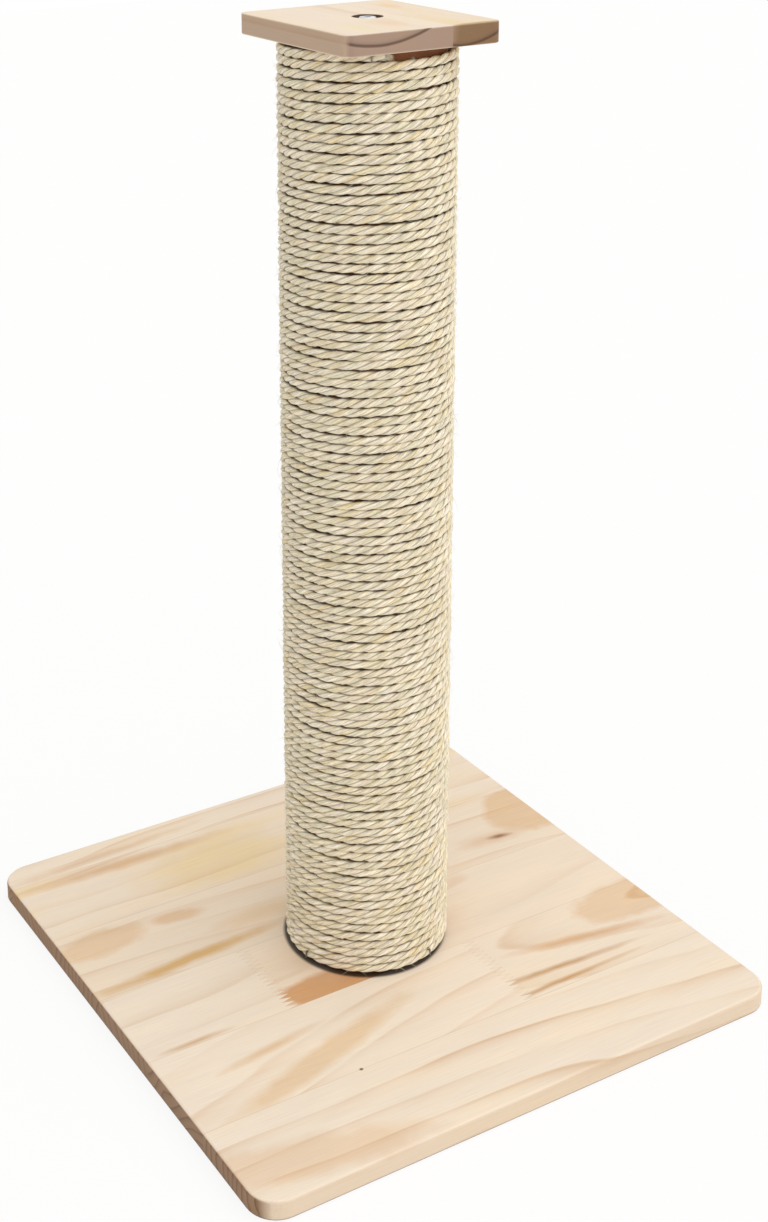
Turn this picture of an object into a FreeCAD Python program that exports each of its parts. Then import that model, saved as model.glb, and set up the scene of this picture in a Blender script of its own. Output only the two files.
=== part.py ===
"""A cat scratching post: a rope-wound cardboard tube between two pine boards.

The origin is the centre of the base board's underside, +Z is up, and all sizes are millimetres.
Every driving size stands once in the sizes sheet below, and each piece is bound to it.
"""
import FreeCAD, Part
import math
import os
import Sketcher

doc = FreeCAD.newDocument("scratching_post")
sizes = doc.addObject("Spreadsheet::Sheet", "sizes")

DRIVING_SIZES = [
    # the two boards, cut from one finger-jointed pine panel
    ("board_thickness", 16.0),
    ("base_side", 480.0),
    ("base_corner_radius", 24.5),
    ("base_top_round", 2.5),
    ("base_foot_round", 1.0),
    ("plate_width", 135.0),
    ("plate_depth", 154.0),
    ("plate_corner_radius", 8.0),
    ("plate_edge_round", 0.8),
    # the cardboard tube
    ("tube_length", 764.0),
    ("tube_bore", 110.0),
    ("tube_wall", 6.0),
    # the plywood plugs in the tube's ends, and the nails that hold them
    ("plug_thickness", 18.0),
    ("plug_fit", 0.1),
    ("nail_count", 4.0),
    ("nail_diameter", 2.2),
    ("nail_length", 22.0),
    ("nail_head_diameter", 5.0),
    ("nail_head_thickness", 1.0),
    ("nail_head_depth", 0.3),
    ("nail_fit", 0.05),
    # the bolt, washer and threaded insert at each end
    ("bolt_diameter", 8.0),
    ("bolt_length", 25.0),
    ("bolt_head_diameter", 13.0),
    ("bolt_head_thickness", 2.6),
    ("bolt_head_chamfer", 0.6),
    ("hex_across_flats", 5.0),
    ("hex_depth", 2.0),
    ("bolt_hole_fit", 0.4),
    ("thread_fit", 0.05),
    ("insert_diameter", 12.0),
    ("insert_length", 15.0),
    ("insert_fit", 0.05),
    ("washer_diameter", 22.0),
    ("washer_thickness", 1.6),
    ("counterbore_diameter", 24.0),
    ("counterbore_depth", 4.6),
    # the sisal rope, wound in one layer from the base up
    ("rope_diameter", 6.8),
    ("rope_pitch", 7.46),
    ("rope_seat_gap", 0.1),
    ("rope_end_gap", 0.6),
    ("rope_start_angle", 125.0),
    # the staples that hold the rope's ends; each turn is in degrees along the winding
    ("staple_crown", 5.8),
    ("staple_wire", 1.2),
    ("staple_length", 12.0),
    ("staple_fit", 0.05),
    ("end_staple_turn", 8.0),
    ("second_staple_turn", 65.6),
    ("third_staple_turn", 162.6),
]
for row, (alias, number) in enumerate(DRIVING_SIZES, start=1):
    sizes.set(f"A{row}", alias)
    sizes.set(f"B{row}", str(number))
    sizes.setAlias(f"B{row}", alias)
doc.recompute()

# How the winding is split, in turns: consecutive runs, each of half-turn and quarter-turn biarcs.
ROPE_NODES = 5
BIARC_TURN = 0.5
SEAM_TURN = 0.25
# How closely the winding's centre line is sampled when its gaps are measured.
POINT_SPACING = 1.0
NEIGHBOUR_WINDOW = 12
# The tolerance for finding an edge by its height or direction.
NEAR = 0.001
# A sketch is drawn at this size before its own dimensions set it.
DRAFT_REACH = 50.0


def size(alias):
    """The number that the sheet holds under this alias."""
    return float(sizes.get(alias))


def bind(thing, **expressions):
    """Binds properties of a document object; two underscores stand for a dot."""
    for name, expression in expressions.items():
        thing.setExpression(name.replace("__", "."), expression)
    return thing


def raise_to(thing, height):
    """Sets a piece at a height along Z."""
    return bind(thing, Placement__Base__z=height)


def part_of(kind, name, **expressions):
    """A Part primitive with bound sizes."""
    return bind(doc.addObject(kind, name), **expressions)


def cylinder(name, diameter, height, base="0"):
    """An upright cylinder about Z that starts at the height called base."""
    return raise_to(part_of("Part::Cylinder", name, Radius=f"({diameter}) / 2", Height=height), base)


def cut(name, base, tools):
    """The base with every tool taken away."""
    tool = tools[0] if len(tools) == 1 else group(f"{name}_cuts", tools)
    result = doc.addObject("Part::Cut", name)
    result.Base = base
    result.Tool = tool
    return result


def group(name, pieces):
    """Separate solids held as one object."""
    result = doc.addObject("Part::Compound", name)
    result.Links = pieces
    return result


def fuse(name, pieces):
    """Overlapping solids joined to one."""
    result = doc.addObject("Part::MultiFuse", name)
    result.Shapes = pieces
    return result


def placed(thing, x, y, z, turn):
    """Binds a piece's whole placement: where it stands, and its turn."""
    return bind(thing, Placement=f"create(<<placement>>; create(<<vector>>; {x}; {y}; {z}); {turn})")


def radial_box(name, angle, radius, reach, width, low, height):
    """A box that runs outwards from a radius at an angle, centred across its width."""
    box = part_of("Part::Box", name, Length=reach, Width=width, Height=height)
    x = f"({radius}) * cos({angle}) + ({width}) / 2 * sin({angle})"
    y = f"({radius}) * sin({angle}) - ({width}) / 2 * cos({angle})"
    return placed(box, x, y, low, f"create(<<rotation>>; create(<<vector>>; 0; 0; 1); {angle})")


def radial_cylinder(name, angle, radius, length, diameter, height):
    """A cylinder that runs outwards from a radius at an angle."""
    rod = part_of("Part::Cylinder", name, Radius=f"({diameter}) / 2", Height=length)
    x = f"({radius}) * cos({angle})"
    y = f"({radius}) * sin({angle})"
    return placed(rod, x, y, height, f"create(<<rotation>>; {angle}; 90; 0)")


def origin_plane(body, role):
    """The body's own origin plane with this role."""
    return [feature for feature in body.Origin.OriginFeatures if feature.Role == role][0]


def flat_sketch(body, name, height="0"):
    """A sketch on the body's own XY plane, raised to a height."""
    sketch = body.newObject("Sketcher::SketchObject", name)
    sketch.AttachmentSupport = [(origin_plane(body, "XY_Plane"), "")]
    sketch.MapMode = "FlatFace"
    sketch.setExpression("AttachmentOffset.Base.z", height)
    return sketch


def centred_rectangle(sketch, width, depth):
    """A rectangle about the sketch's origin."""
    corners = [(-1, -1), (1, -1), (1, 1), (-1, 1)]
    points = [FreeCAD.Vector(x * DRAFT_REACH, y * DRAFT_REACH, 0) for x, y in corners]
    for index, point in enumerate(points):
        sketch.addGeometry(Part.LineSegment(point, points[(index + 1) % 4]))
    for index in range(4):
        sketch.addConstraint(Sketcher.Constraint("Coincident", index, 2, (index + 1) % 4, 1))
    for index, direction in enumerate(["Horizontal", "Vertical", "Horizontal", "Vertical"]):
        sketch.addConstraint(Sketcher.Constraint(direction, index))
    sketch.addConstraint(Sketcher.Constraint("Symmetric", 0, 1, 1, 2, -1, 1))
    for index, (word, value) in enumerate([("width", width), ("depth", depth)]):
        number = sketch.addConstraint(Sketcher.Constraint("Distance", index, 2 * DRAFT_REACH))
        sketch.renameConstraint(number, word)
        sketch.setExpression(f"Constraints.{word}", value)


def centred_circle(sketch, diameter):
    """A circle about the sketch's origin."""
    sketch.addGeometry(Part.Circle(FreeCAD.Vector(), FreeCAD.Vector(0, 0, 1), DRAFT_REACH))
    sketch.addConstraint(Sketcher.Constraint("Coincident", 0, 3, -1, 1))
    number = sketch.addConstraint(Sketcher.Constraint("Diameter", 0, 2 * DRAFT_REACH))
    sketch.renameConstraint(number, "diameter")
    sketch.setExpression("Constraints.diameter", diameter)


def edges_where(feature, test):
    """The names of a feature's edges that pass a test."""
    edges = feature.Shape.Edges
    return [f"Edge{number}" for number, edge in enumerate(edges, start=1) if test(edge)]


def is_upright(edge):
    """Whether an edge runs along Z."""
    low, high = edge.BoundBox.ZMin, edge.BoundBox.ZMax
    return abs(high - low - edge.Length) < NEAR


def lies_at(height):
    """A test for edges that lie flat at a height."""
    return lambda edge: max(abs(edge.BoundBox.ZMin - height), abs(edge.BoundBox.ZMax - height)) < NEAR


def fillet(body, name, base, edges, radius):
    """Rounds some edges of the base feature."""
    feature = body.newObject("PartDesign::Fillet", name)
    feature.Base = (base, edges)
    feature.setExpression("Radius", radius)
    doc.recompute()
    return feature


def pocket(body, name, sketch, depth, upwards):
    """Takes a sketch's shape away, up or down from its plane, and tests that something went."""
    volume = body.Shape.Volume
    feature = body.newObject("PartDesign::Pocket", name)
    feature.Profile = sketch
    feature.Reversed = upwards
    feature.setExpression("Length", depth)
    doc.recompute()
    if body.Shape.Volume >= volume:
        raise RuntimeError(f"{name} cuts nothing")
    return feature


def make_board(name, width, depth, corner_radius, top_round, foot_round, bolt_from_above):
    """A pine board with rounded corners, eased edges and a counterbored hole for its bolt."""
    body = doc.addObject("PartDesign::Body", name)
    outline = flat_sketch(body, f"{name}_outline")
    centred_rectangle(outline, width, depth)
    panel = body.newObject("PartDesign::Pad", f"{name}_panel")
    panel.Profile = outline
    panel.setExpression("Length", "sizes.board_thickness")
    doc.recompute()
    corners = fillet(body, f"{name}_corners", panel, edges_where(panel, is_upright), corner_radius)
    top_edges = edges_where(corners, lies_at(size("board_thickness")))
    eased = fillet(body, f"{name}_top_edge", corners, top_edges, top_round)
    foot_edges = edges_where(eased, lies_at(0.0))
    fillet(body, f"{name}_foot_edge", eased, foot_edges, foot_round)
    hole = flat_sketch(body, f"{name}_bolt_hole_circle")
    centred_circle(hole, "sizes.bolt_diameter + 2 * sizes.bolt_hole_fit")
    pocket(body, f"{name}_bolt_hole", hole, "sizes.board_thickness", True)
    seat_face = "sizes.board_thickness" if bolt_from_above else "0"
    seat = flat_sketch(body, f"{name}_counterbore_circle", seat_face)
    centred_circle(seat, "sizes.counterbore_diameter")
    pocket(body, f"{name}_counterbore", seat, "sizes.counterbore_depth", not bolt_from_above)
    return body


# Heights and radii that several pieces share.
TUBE_FOOT = "sizes.board_thickness"
TUBE_HEAD = "(sizes.board_thickness + sizes.tube_length)"
TUBE_RADIUS = "(sizes.tube_bore / 2 + sizes.tube_wall)"
WINDING_RADIUS = f"({TUBE_RADIUS} + sizes.rope_seat_gap + sizes.rope_diameter / 2)"
ROPE_LOW = f"({TUBE_FOOT} + sizes.rope_end_gap + sizes.rope_diameter / 2)"
ROPE_HIGH = f"({TUBE_HEAD} - sizes.rope_end_gap - sizes.rope_diameter / 2)"
ROPE_TURNS = f"(({ROPE_HIGH} - {ROPE_LOW}) / sizes.rope_pitch)"
ROPE_START = "sizes.rope_start_angle * 1 deg"
ROPE_END = f"({ROPE_START} + {ROPE_TURNS} * 360 deg)"

# The two boards.
make_board(
    "base_board",
    "sizes.base_side",
    "sizes.base_side",
    "sizes.base_corner_radius",
    "sizes.base_top_round",
    "sizes.base_foot_round",
    bolt_from_above=False,
)
plate = make_board(
    "top_plate",
    "sizes.plate_width",
    "sizes.plate_depth",
    "sizes.plate_corner_radius",
    "sizes.plate_edge_round",
    "sizes.plate_edge_round",
    bolt_from_above=True,
)
raise_to(plate, TUBE_HEAD)

# The plugs' nails, square to the tube's wall; each hole is the nail and its fit.
NAIL_ANGLES = [360.0 / size("nail_count") * number for number in range(int(size("nail_count")))]
NAIL_TIP = f"({TUBE_RADIUS} - sizes.nail_head_depth - sizes.nail_length)"
NAIL_HEAD = f"({TUBE_RADIUS} - sizes.nail_head_depth - sizes.nail_head_thickness)"


def make_nail(name, angle, height, fit, past_wall):
    """A nail along a radius, or, with a fit and a way past the wall, the hole for one."""
    shank = radial_cylinder(
        f"{name}_shank",
        f"{angle} deg",
        f"({NAIL_TIP} - {fit})",
        f"sizes.nail_length - sizes.nail_head_thickness + {fit}",
        f"sizes.nail_diameter + 2 * {fit}",
        height,
    )
    head = radial_cylinder(
        f"{name}_head",
        f"{angle} deg",
        f"({NAIL_HEAD} - {fit})",
        f"sizes.nail_head_thickness + {fit} + {past_wall}",
        f"sizes.nail_head_diameter + 2 * {fit}",
        height,
    )
    return fuse(name, [shank, head])


def make_nails(name, height):
    """One plug's ring of nails."""
    return group(name, [make_nail(f"{name}_{angle:.0f}", angle, height, "0", "0") for angle in NAIL_ANGLES])


def make_nail_holes(name, height):
    """The holes for one plug's ring of nails, open through the tube's wall."""
    past_wall = "sizes.nail_head_depth + 1"
    return [
        make_nail(f"{name}_{angle:.0f}", angle, height, "sizes.nail_fit", past_wall) for angle in NAIL_ANGLES
    ]


# Staples straddle the rope's outer side, with both legs through the rope into the tube's wall.
CROWN_RADIUS = f"({WINDING_RADIUS} + sizes.rope_diameter / 2 + sizes.staple_fit)"
STAPLE_TIP = f"({CROWN_RADIUS} + sizes.staple_wire - sizes.staple_length)"
LEG_HEIGHTS = {"lower": "-sizes.staple_crown / 2", "upper": "sizes.staple_crown / 2 - sizes.staple_wire"}


def make_staple(name, angle, height):
    """A square-wire staple: a crown along Z outside the rope and two legs inwards."""
    legs = [
        radial_box(
            f"{name}_{side}_leg",
            angle,
            STAPLE_TIP,
            "sizes.staple_length",
            "sizes.staple_wire",
            f"{height} + {offset}",
            "sizes.staple_wire",
        )
        for side, offset in LEG_HEIGHTS.items()
    ]
    crown = radial_box(
        f"{name}_crown",
        angle,
        CROWN_RADIUS,
        "sizes.staple_wire",
        "sizes.staple_wire",
        f"{height} - sizes.staple_crown / 2",
        "sizes.staple_crown",
    )
    return fuse(name, legs + [crown])


def make_staple_slots(name, angle, height):
    """The slots that a staple's legs fill in the rope and the tube."""
    return [
        radial_box(
            f"{name}_{side}_slot",
            angle,
            f"({STAPLE_TIP} - sizes.staple_fit)",
            "sizes.staple_length",
            "(sizes.staple_wire + 2 * sizes.staple_fit)",
            f"{height} + {offset} - sizes.staple_fit",
            "sizes.staple_wire + 2 * sizes.staple_fit",
        )
        for side, offset in LEG_HEIGHTS.items()
    ]


def staples_after_start(angles):
    """Angle and height of staples that follow the rope's lower end."""
    return [
        (f"({ROPE_START} + {angle} * 1 deg)", f"{ROPE_LOW} + sizes.rope_pitch * {angle} / 360")
        for angle in angles
    ]


def staples_before_end(angles):
    """Angle and height of staples that come before the rope's upper end."""
    return [
        (f"({ROPE_END} - {angle} * 1 deg)", f"{ROPE_HIGH} - sizes.rope_pitch * {angle} / 360")
        for angle in angles
    ]


STAPLES = {
    "bottom_rope_staples": staples_after_start(
        ["sizes.end_staple_turn", "sizes.second_staple_turn", "sizes.third_staple_turn"]
    ),
    "top_rope_staples": staples_before_end(["sizes.end_staple_turn", "sizes.third_staple_turn"]),
}
staple_slots = {}
for label, places in STAPLES.items():
    staples = []
    slots = []
    for number, (angle, height) in enumerate(places, start=1):
        staples.append(make_staple(f"{label}_{number}", angle, height))
        slots.extend(make_staple_slots(f"{label}_{number}", angle, height))
    group(label, staples)
    staple_slots[label] = slots

# The bolts' threaded inserts, each flush in its plug; both ends are alike, the top one turned over.
ENDS = {
    "bottom": {"plug_foot": TUBE_FOOT, "outwards": -1},
    "top": {"plug_foot": f"({TUBE_HEAD} - sizes.plug_thickness)", "outwards": 1},
}
wall_holes = []
for end, place in ENDS.items():
    outwards = place["outwards"]
    plug_foot = place["plug_foot"]
    face = TUBE_HEAD if outwards > 0 else TUBE_FOOT
    nail_height = f"{plug_foot} + sizes.plug_thickness / 2"
    insert_name = "top_insert" if outwards > 0 else "base_insert"
    bolt_name = "top_bolt" if outwards > 0 else "base_bolt"
    washer_name = "top_washer" if outwards > 0 else "base_washer"

    # a plywood plug in the tube's end, bored for its insert and its nails
    plug_diameter = "sizes.tube_bore - 2 * sizes.plug_fit"
    disc = cylinder(f"{end}_plug_disc", plug_diameter, "sizes.plug_thickness", plug_foot)
    insert_bore = "sizes.insert_diameter + 2 * sizes.insert_fit"
    bore = cylinder(f"{end}_plug_bore", insert_bore, "sizes.plug_thickness", plug_foot)
    nail_holes = make_nail_holes(f"{end}_nail_hole", nail_height)
    cut(f"{end}_plug", disc, [bore] + nail_holes)
    wall_holes.extend(nail_holes)
    make_nails(f"{end}_plug_nails", nail_height)

    # the steel insert
    insert_foot = f"({face} - sizes.insert_length)" if outwards > 0 else face
    sleeve = cylinder(f"{end}_insert_sleeve", "sizes.insert_diameter", "sizes.insert_length", insert_foot)
    thread_bore = "sizes.bolt_diameter + 2 * sizes.thread_fit"
    thread = cylinder(f"{end}_insert_thread", thread_bore, "sizes.insert_length", insert_foot)
    cut(insert_name, sleeve, [thread])

    # the washer on the counterbore's floor
    floor = f"({face} + {outwards} * (sizes.board_thickness - sizes.counterbore_depth))"
    washer_foot = floor if outwards > 0 else f"({floor} - sizes.washer_thickness)"
    ring = cylinder(f"{end}_washer_ring", "sizes.washer_diameter", "sizes.washer_thickness", washer_foot)
    bolt_hole = "sizes.bolt_diameter + 2 * sizes.bolt_hole_fit"
    eye = cylinder(f"{end}_washer_eye", bolt_hole, "sizes.washer_thickness", washer_foot)
    cut(washer_name, ring, [eye])

    # the bolt: its head on the washer, its shank through the board into the insert
    under_head = f"({floor} + {outwards} * sizes.washer_thickness)"
    head_foot = under_head if outwards > 0 else f"({under_head} - sizes.bolt_head_thickness)"
    blank = cylinder(f"{end}_bolt_blank", "sizes.bolt_head_diameter", "sizes.bolt_head_thickness", head_foot)
    rim = doc.addObject("Part::Chamfer", f"{end}_bolt_head")
    rim.Base = blank
    doc.recompute()
    outer_height = blank.Shape.BoundBox.ZMax if outwards > 0 else blank.Shape.BoundBox.ZMin
    rim_edges = [
        (number, size("bolt_head_chamfer"), size("bolt_head_chamfer"))
        for number, edge in enumerate(blank.Shape.Edges, start=1)
        if lies_at(outer_height)(edge)
    ]
    rim.Edges = rim_edges
    shank_foot = f"({under_head} - sizes.bolt_length)" if outwards > 0 else under_head
    shank = cylinder(f"{end}_bolt_shank", "sizes.bolt_diameter", "sizes.bolt_length", shank_foot)
    head_top = f"({head_foot} + sizes.bolt_head_thickness)"
    socket_foot = f"{head_top} - sizes.hex_depth" if outwards > 0 else head_foot
    socket = part_of(
        "Part::Prism",
        f"{end}_bolt_socket",
        Circumradius="sizes.hex_across_flats / 2 / cos(30 deg)",
        Height="sizes.hex_depth",
    )
    socket.Polygon = 6
    raise_to(socket, socket_foot)
    cut(bolt_name, fuse(f"{end}_bolt_body", [rim, shank]), [socket])

# The cardboard tube, with the nails' holes and the staples' slots in its wall.
tube_body = cylinder("tube_body", f"2 * {TUBE_RADIUS}", "sizes.tube_length", TUBE_FOOT)
tube_bore = cylinder("tube_hollow", "sizes.tube_bore", "sizes.tube_length", TUBE_FOOT)
cut("core_tube", tube_body, [tube_bore] + wall_holes + sum(staple_slots.values(), []))
doc.recompute()

# The rope: one helix, kept as consecutive runs of turns that meet face to face.
tube_radius = size("tube_bore") / 2 + size("tube_wall")
winding_radius = tube_radius + size("rope_seat_gap") + size("rope_diameter") / 2
rope_low = size("board_thickness") + size("rope_end_gap") + size("rope_diameter") / 2
rope_rise = size("tube_length") - 2 * size("rope_end_gap") - size("rope_diameter")
rope_turns = rope_rise / size("rope_pitch")
straight_end = size("rope_diameter")
end_turn = straight_end / winding_radius / (2 * math.pi)


def helix_point(turn):
    """The winding's centre line after a number of turns from the rope's lower end."""
    angle = math.radians(size("rope_start_angle")) + 2 * math.pi * turn
    return FreeCAD.Vector(
        winding_radius * math.cos(angle),
        winding_radius * math.sin(angle),
        rope_low + size("rope_pitch") * turn,
    )


def helix_direction(turn):
    """The way the rope runs there."""
    angle = math.radians(size("rope_start_angle")) + 2 * math.pi * turn
    slope = size("rope_pitch") / (2 * math.pi)
    way = FreeCAD.Vector(-winding_radius * math.sin(angle), winding_radius * math.cos(angle), slope)
    return way.normalize()


def arc_from(start, direction, end):
    """The arc that leaves start in a direction and ends at end."""
    chord = end - start
    normal = chord - direction * chord.dot(direction)
    normal.normalize()
    radius = chord.dot(chord) / (2 * chord.dot(normal))
    centre = start + normal * radius
    half = (start - centre) + (end - centre)
    middle = centre + half.normalize() * radius
    return Part.Arc(start, middle, end).toShape()


def biarc(start, start_way, end, end_way):
    """Two tangent arcs from one point and direction to another.

    Their control points lie an equal reach along the two end directions, with the joint halfway
    between them, so that |chord - reach * (start_way + end_way)| is twice the reach.
    """
    chord = end - start
    ways = start_way + end_way
    square = 4.0 - ways.dot(ways)
    along = chord.dot(ways)
    reach = (math.sqrt(along * along + square * chord.dot(chord)) - along) / square
    first = start + start_way * reach
    second = end - end_way * reach
    joint = (first + second) * 0.5
    joint_way = (second - first).normalize()
    return [arc_from(start, start_way, joint), arc_from(joint, joint_way, end)]


def winding_path(low_turn, high_turn, free_low, free_high):
    """The centre line of one run of turns, straight for one rope diameter at each end.

    A free end leaves the winding along its tangent; a seam's two runs share one straight.
    """
    first_turn = low_turn + end_turn if free_low else low_turn
    last_turn = high_turn - end_turn if free_high else high_turn
    first_way = helix_direction(first_turn)
    last_way = helix_direction(last_turn)
    outer_first = helix_point(first_turn) - first_way * (straight_end if free_low else 0.0)
    first = outer_first + first_way * straight_end
    outer_last = helix_point(last_turn) + last_way * (straight_end if free_high else 0.0)
    last = outer_last - last_way * straight_end
    inner_low = first_turn + SEAM_TURN
    inner_high = last_turn - SEAM_TURN
    steps = max(1, math.ceil((inner_high - inner_low) / BIARC_TURN))
    stops = [inner_low + (inner_high - inner_low) * number / steps for number in range(steps + 1)]
    places = [(first, first_way)] + [(helix_point(stop), helix_direction(stop)) for stop in stops]
    places.append((last, last_way))
    if free_high:
        # drawn from the free end down, so that the section starts there
        places = [(place, way * -1.0) for place, way in reversed(places)]
        outer_first, outer_last = outer_last, outer_first
    edges = [Part.LineSegment(outer_first, places[0][0]).toShape()]
    for (here, way), (there, next_way) in zip(places, places[1:]):
        edges.extend(biarc(here, way, there, next_way))
    edges.append(Part.LineSegment(places[-1][0], outer_last).toShape())
    return Part.Wire(edges), outer_first, places[0][1]


def rope_section(foot, way):
    """The rope's round section, whose seam lies against the tube, clear of the staples' slots."""
    circle = Part.Circle(foot, way, size("rope_diameter") / 2)
    inwards = FreeCAD.Vector(-foot.x, -foot.y, 0.0)
    circle.XAxis = (inwards - way * inwards.dot(way)).normalize()
    return Part.Wire(circle.toShape())


def least_gap(path):
    """The least air gap between a run's neighbouring turns, from points along its centre line."""
    count = int(path.Length / POINT_SPACING)
    points = path.discretize(Number=count)
    per_turn = int(2 * math.pi * winding_radius / (path.Length / (count - 1)))
    window = range(per_turn - NEIGHBOUR_WINDOW, per_turn + NEIGHBOUR_WINDOW + 1)
    nearest = min(
        (points[index + step] - point).Length
        for index, point in enumerate(points)
        for step in window
        if index + step < count
    )
    return nearest - size("rope_diameter")


turns_per_node = rope_turns / ROPE_NODES
rope_length = 0.0
for node in range(ROPE_NODES):
    low_turn = node * turns_per_node
    high_turn = low_turn + turns_per_node
    free_low = node == 0
    free_high = node == ROPE_NODES - 1
    path, foot, way = winding_path(low_turn, high_turn, free_low, free_high)
    pipe = Part.BRepOffsetAPI.MakePipeShell(path)
    pipe.add(rope_section(foot, way))
    pipe.build()
    pipe.makeSolid()
    label = f"rope_turns_{node + 1}"
    winding = doc.addObject("Part::Feature", f"{label}_winding" if free_low or free_high else label)
    winding.Shape = pipe.shape()
    winding.Placement = FreeCAD.Placement()
    expected = math.pi * size("rope_diameter") ** 2 / 4 * path.Length
    print(
        f"{label}: {turns_per_node:.2f} turns, {path.Length:.0f} mm, least gap {least_gap(path):.3f} mm,"
        f" volume ratio {winding.Shape.Volume / expected:.5f}"
    )
    rope_length += path.Length
    if free_low:
        cut(label, winding, [group("lower_rope_slots", staple_slots["bottom_rope_staples"])])
    if free_high:
        cut(label, winding, [group("upper_rope_slots", staple_slots["top_rope_staples"])])
print(f"rope: {rope_turns:.2f} turns, {rope_length / 1000:.2f} m")

doc.recompute()

SUBPARTS = [
    "base_board",
    "top_plate",
    "core_tube",
    "bottom_plug",
    "top_plug",
    "bottom_plug_nails",
    "top_plug_nails",
    "base_insert",
    "top_insert",
    "base_washer",
    "top_washer",
    "base_bolt",
    "top_bolt",
    "bottom_rope_staples",
    "top_rope_staples",
] + [f"rope_turns_{number + 1}" for number in range(ROPE_NODES)]

for thing in doc.Objects:
    if "Invalid" in thing.State or "Error" in thing.State:
        raise RuntimeError(f"{thing.Label} failed: {thing.State}")
for label in SUBPARTS:
    shape = doc.getObject(label).Shape
    if shape.isNull() or not shape.isValid() or not shape.Solids:
        raise RuntimeError(f"{label} has no valid shape")

os.makedirs("parts", exist_ok=True)
for label in SUBPARTS:
    thing = doc.getObject(label)
    thing.Shape.exportStep(f"parts/{label}.step")
    print(f"{label}: {len(thing.Shape.Solids)} solid(s), {thing.Shape.Volume / 1000:.1f} cm3")
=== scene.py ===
# %% [markdown]
# # A rope-wound scratching post
# A cardboard tube stands between two pine boards and carries one layer of sisal rope.
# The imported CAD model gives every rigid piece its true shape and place, so this script keeps those
# meshes and gives them finishes. The rope is different: CAD winds a plain round tube, and here it
# becomes a real laid rope of three strands. Sizes are written in millimetres, apart from the camera's
# place and the floor's reach, and become metres in the CAD model's own frame.

import bpy
import numpy as np
from mathutils import Matrix, Vector


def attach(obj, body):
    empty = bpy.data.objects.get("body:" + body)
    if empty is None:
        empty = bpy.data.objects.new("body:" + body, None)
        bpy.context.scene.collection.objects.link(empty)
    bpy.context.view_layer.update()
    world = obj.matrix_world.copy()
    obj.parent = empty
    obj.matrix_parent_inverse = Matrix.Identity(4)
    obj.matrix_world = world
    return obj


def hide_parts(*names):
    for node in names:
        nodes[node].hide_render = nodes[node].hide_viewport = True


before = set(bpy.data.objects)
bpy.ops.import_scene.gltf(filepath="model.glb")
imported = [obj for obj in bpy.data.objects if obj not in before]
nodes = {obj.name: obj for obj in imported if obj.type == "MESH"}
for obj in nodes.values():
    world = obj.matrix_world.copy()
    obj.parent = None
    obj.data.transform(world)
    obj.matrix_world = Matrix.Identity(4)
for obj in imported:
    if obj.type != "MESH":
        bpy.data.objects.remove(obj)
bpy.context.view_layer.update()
MM = 0.001

# %% [markdown]
# ## Camera
# A camera is one matrix and one lens. Its place, turn and tilt were found by fitting the corners of
# the base, the plate and the post to the photograph. The view looks down a little from the front
# left. The lens comes from a focal length in pixels, and the shift moves the picture's middle off
# the optical axis, which keeps the post nearly upright as in a product photograph.

# %% Camera
IMAGE_WIDTH, IMAGE_HEIGHT = 768, 1222
SENSOR = 36.0
FOCAL_PIXELS = 1879.13
OPTICAL_CENTRE = (262.0, 306.0)
CAMERA_PLACE = np.array([-0.76234, -1.17559, 0.98220])
YAW, PITCH, ROLL = np.radians([-29.628, 16.304, -0.849])


def camera_matrix(place, yaw, pitch, roll):
    """Rows of a camera's world matrix.

    The view direction is +Y turned left by the yaw and down by the pitch. Right is level and square
    to it, and up is their cross product. Right and up then turn about the view by the roll.
    """
    ahead = np.array([-np.sin(yaw) * np.cos(pitch), np.cos(yaw) * np.cos(pitch), -np.sin(pitch)])
    level = np.array([np.cos(yaw), np.sin(yaw), 0.0])
    above = np.cross(level, ahead)
    right = level * np.cos(roll) + above * np.sin(roll)
    up = above * np.cos(roll) - level * np.sin(roll)
    matrix = np.eye(4)
    matrix[:3] = np.stack([right, up, -ahead, place], axis=1)
    return matrix.tolist()


camera_data = bpy.data.cameras.new("camera")
camera_data.sensor_width = SENSOR
camera_data.lens = FOCAL_PIXELS * SENSOR / IMAGE_HEIGHT
camera_data.shift_x = (IMAGE_WIDTH / 2 - OPTICAL_CENTRE[0]) / IMAGE_HEIGHT
camera_data.shift_y = (OPTICAL_CENTRE[1] - IMAGE_HEIGHT / 2) / IMAGE_HEIGHT
camera = bpy.data.objects.new("camera", camera_data)
bpy.context.scene.collection.objects.link(camera)
camera.matrix_world = Matrix(camera_matrix(CAMERA_PLACE, YAW, PITCH, ROLL))
bpy.context.scene.camera = camera
print("lens", round(camera_data.lens, 2), "mm, shift", camera_data.shift_x, camera_data.shift_y)

# %% [markdown]
# ## Helpers for materials
# Colours are written as sRGB hex values, as a paint program shows them, while shaders work in linear
# light, so one function converts them. Another adds a node, sets its properties and inputs, and
# hands back one output, so that a formula reads from line to line. The others start a material, fill
# a colour ramp, turn a pattern's lengths into its scale and put a finish on a piece.

# %% Helpers for materials
# The settings with which a Mix node mixes two colours, in its sockets 6 and 7.
COLOUR_MIX = {"output": 2, "data_type": "RGBA"}


def linear(hex_colour):
    """An sRGB hex colour as linear RGBA: c / 12.92 when dark, else ((c + 0.055) / 1.055) to the 2.4."""
    digits = hex_colour.lstrip("#")
    channels = np.array([int(digits[start:start + 2], 16) for start in (0, 2, 4)]) / 255
    light = np.where(channels <= 0.04045, channels / 12.92, ((channels + 0.055) / 1.055) ** 2.4)
    return (*light.tolist(), 1.0)


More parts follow.
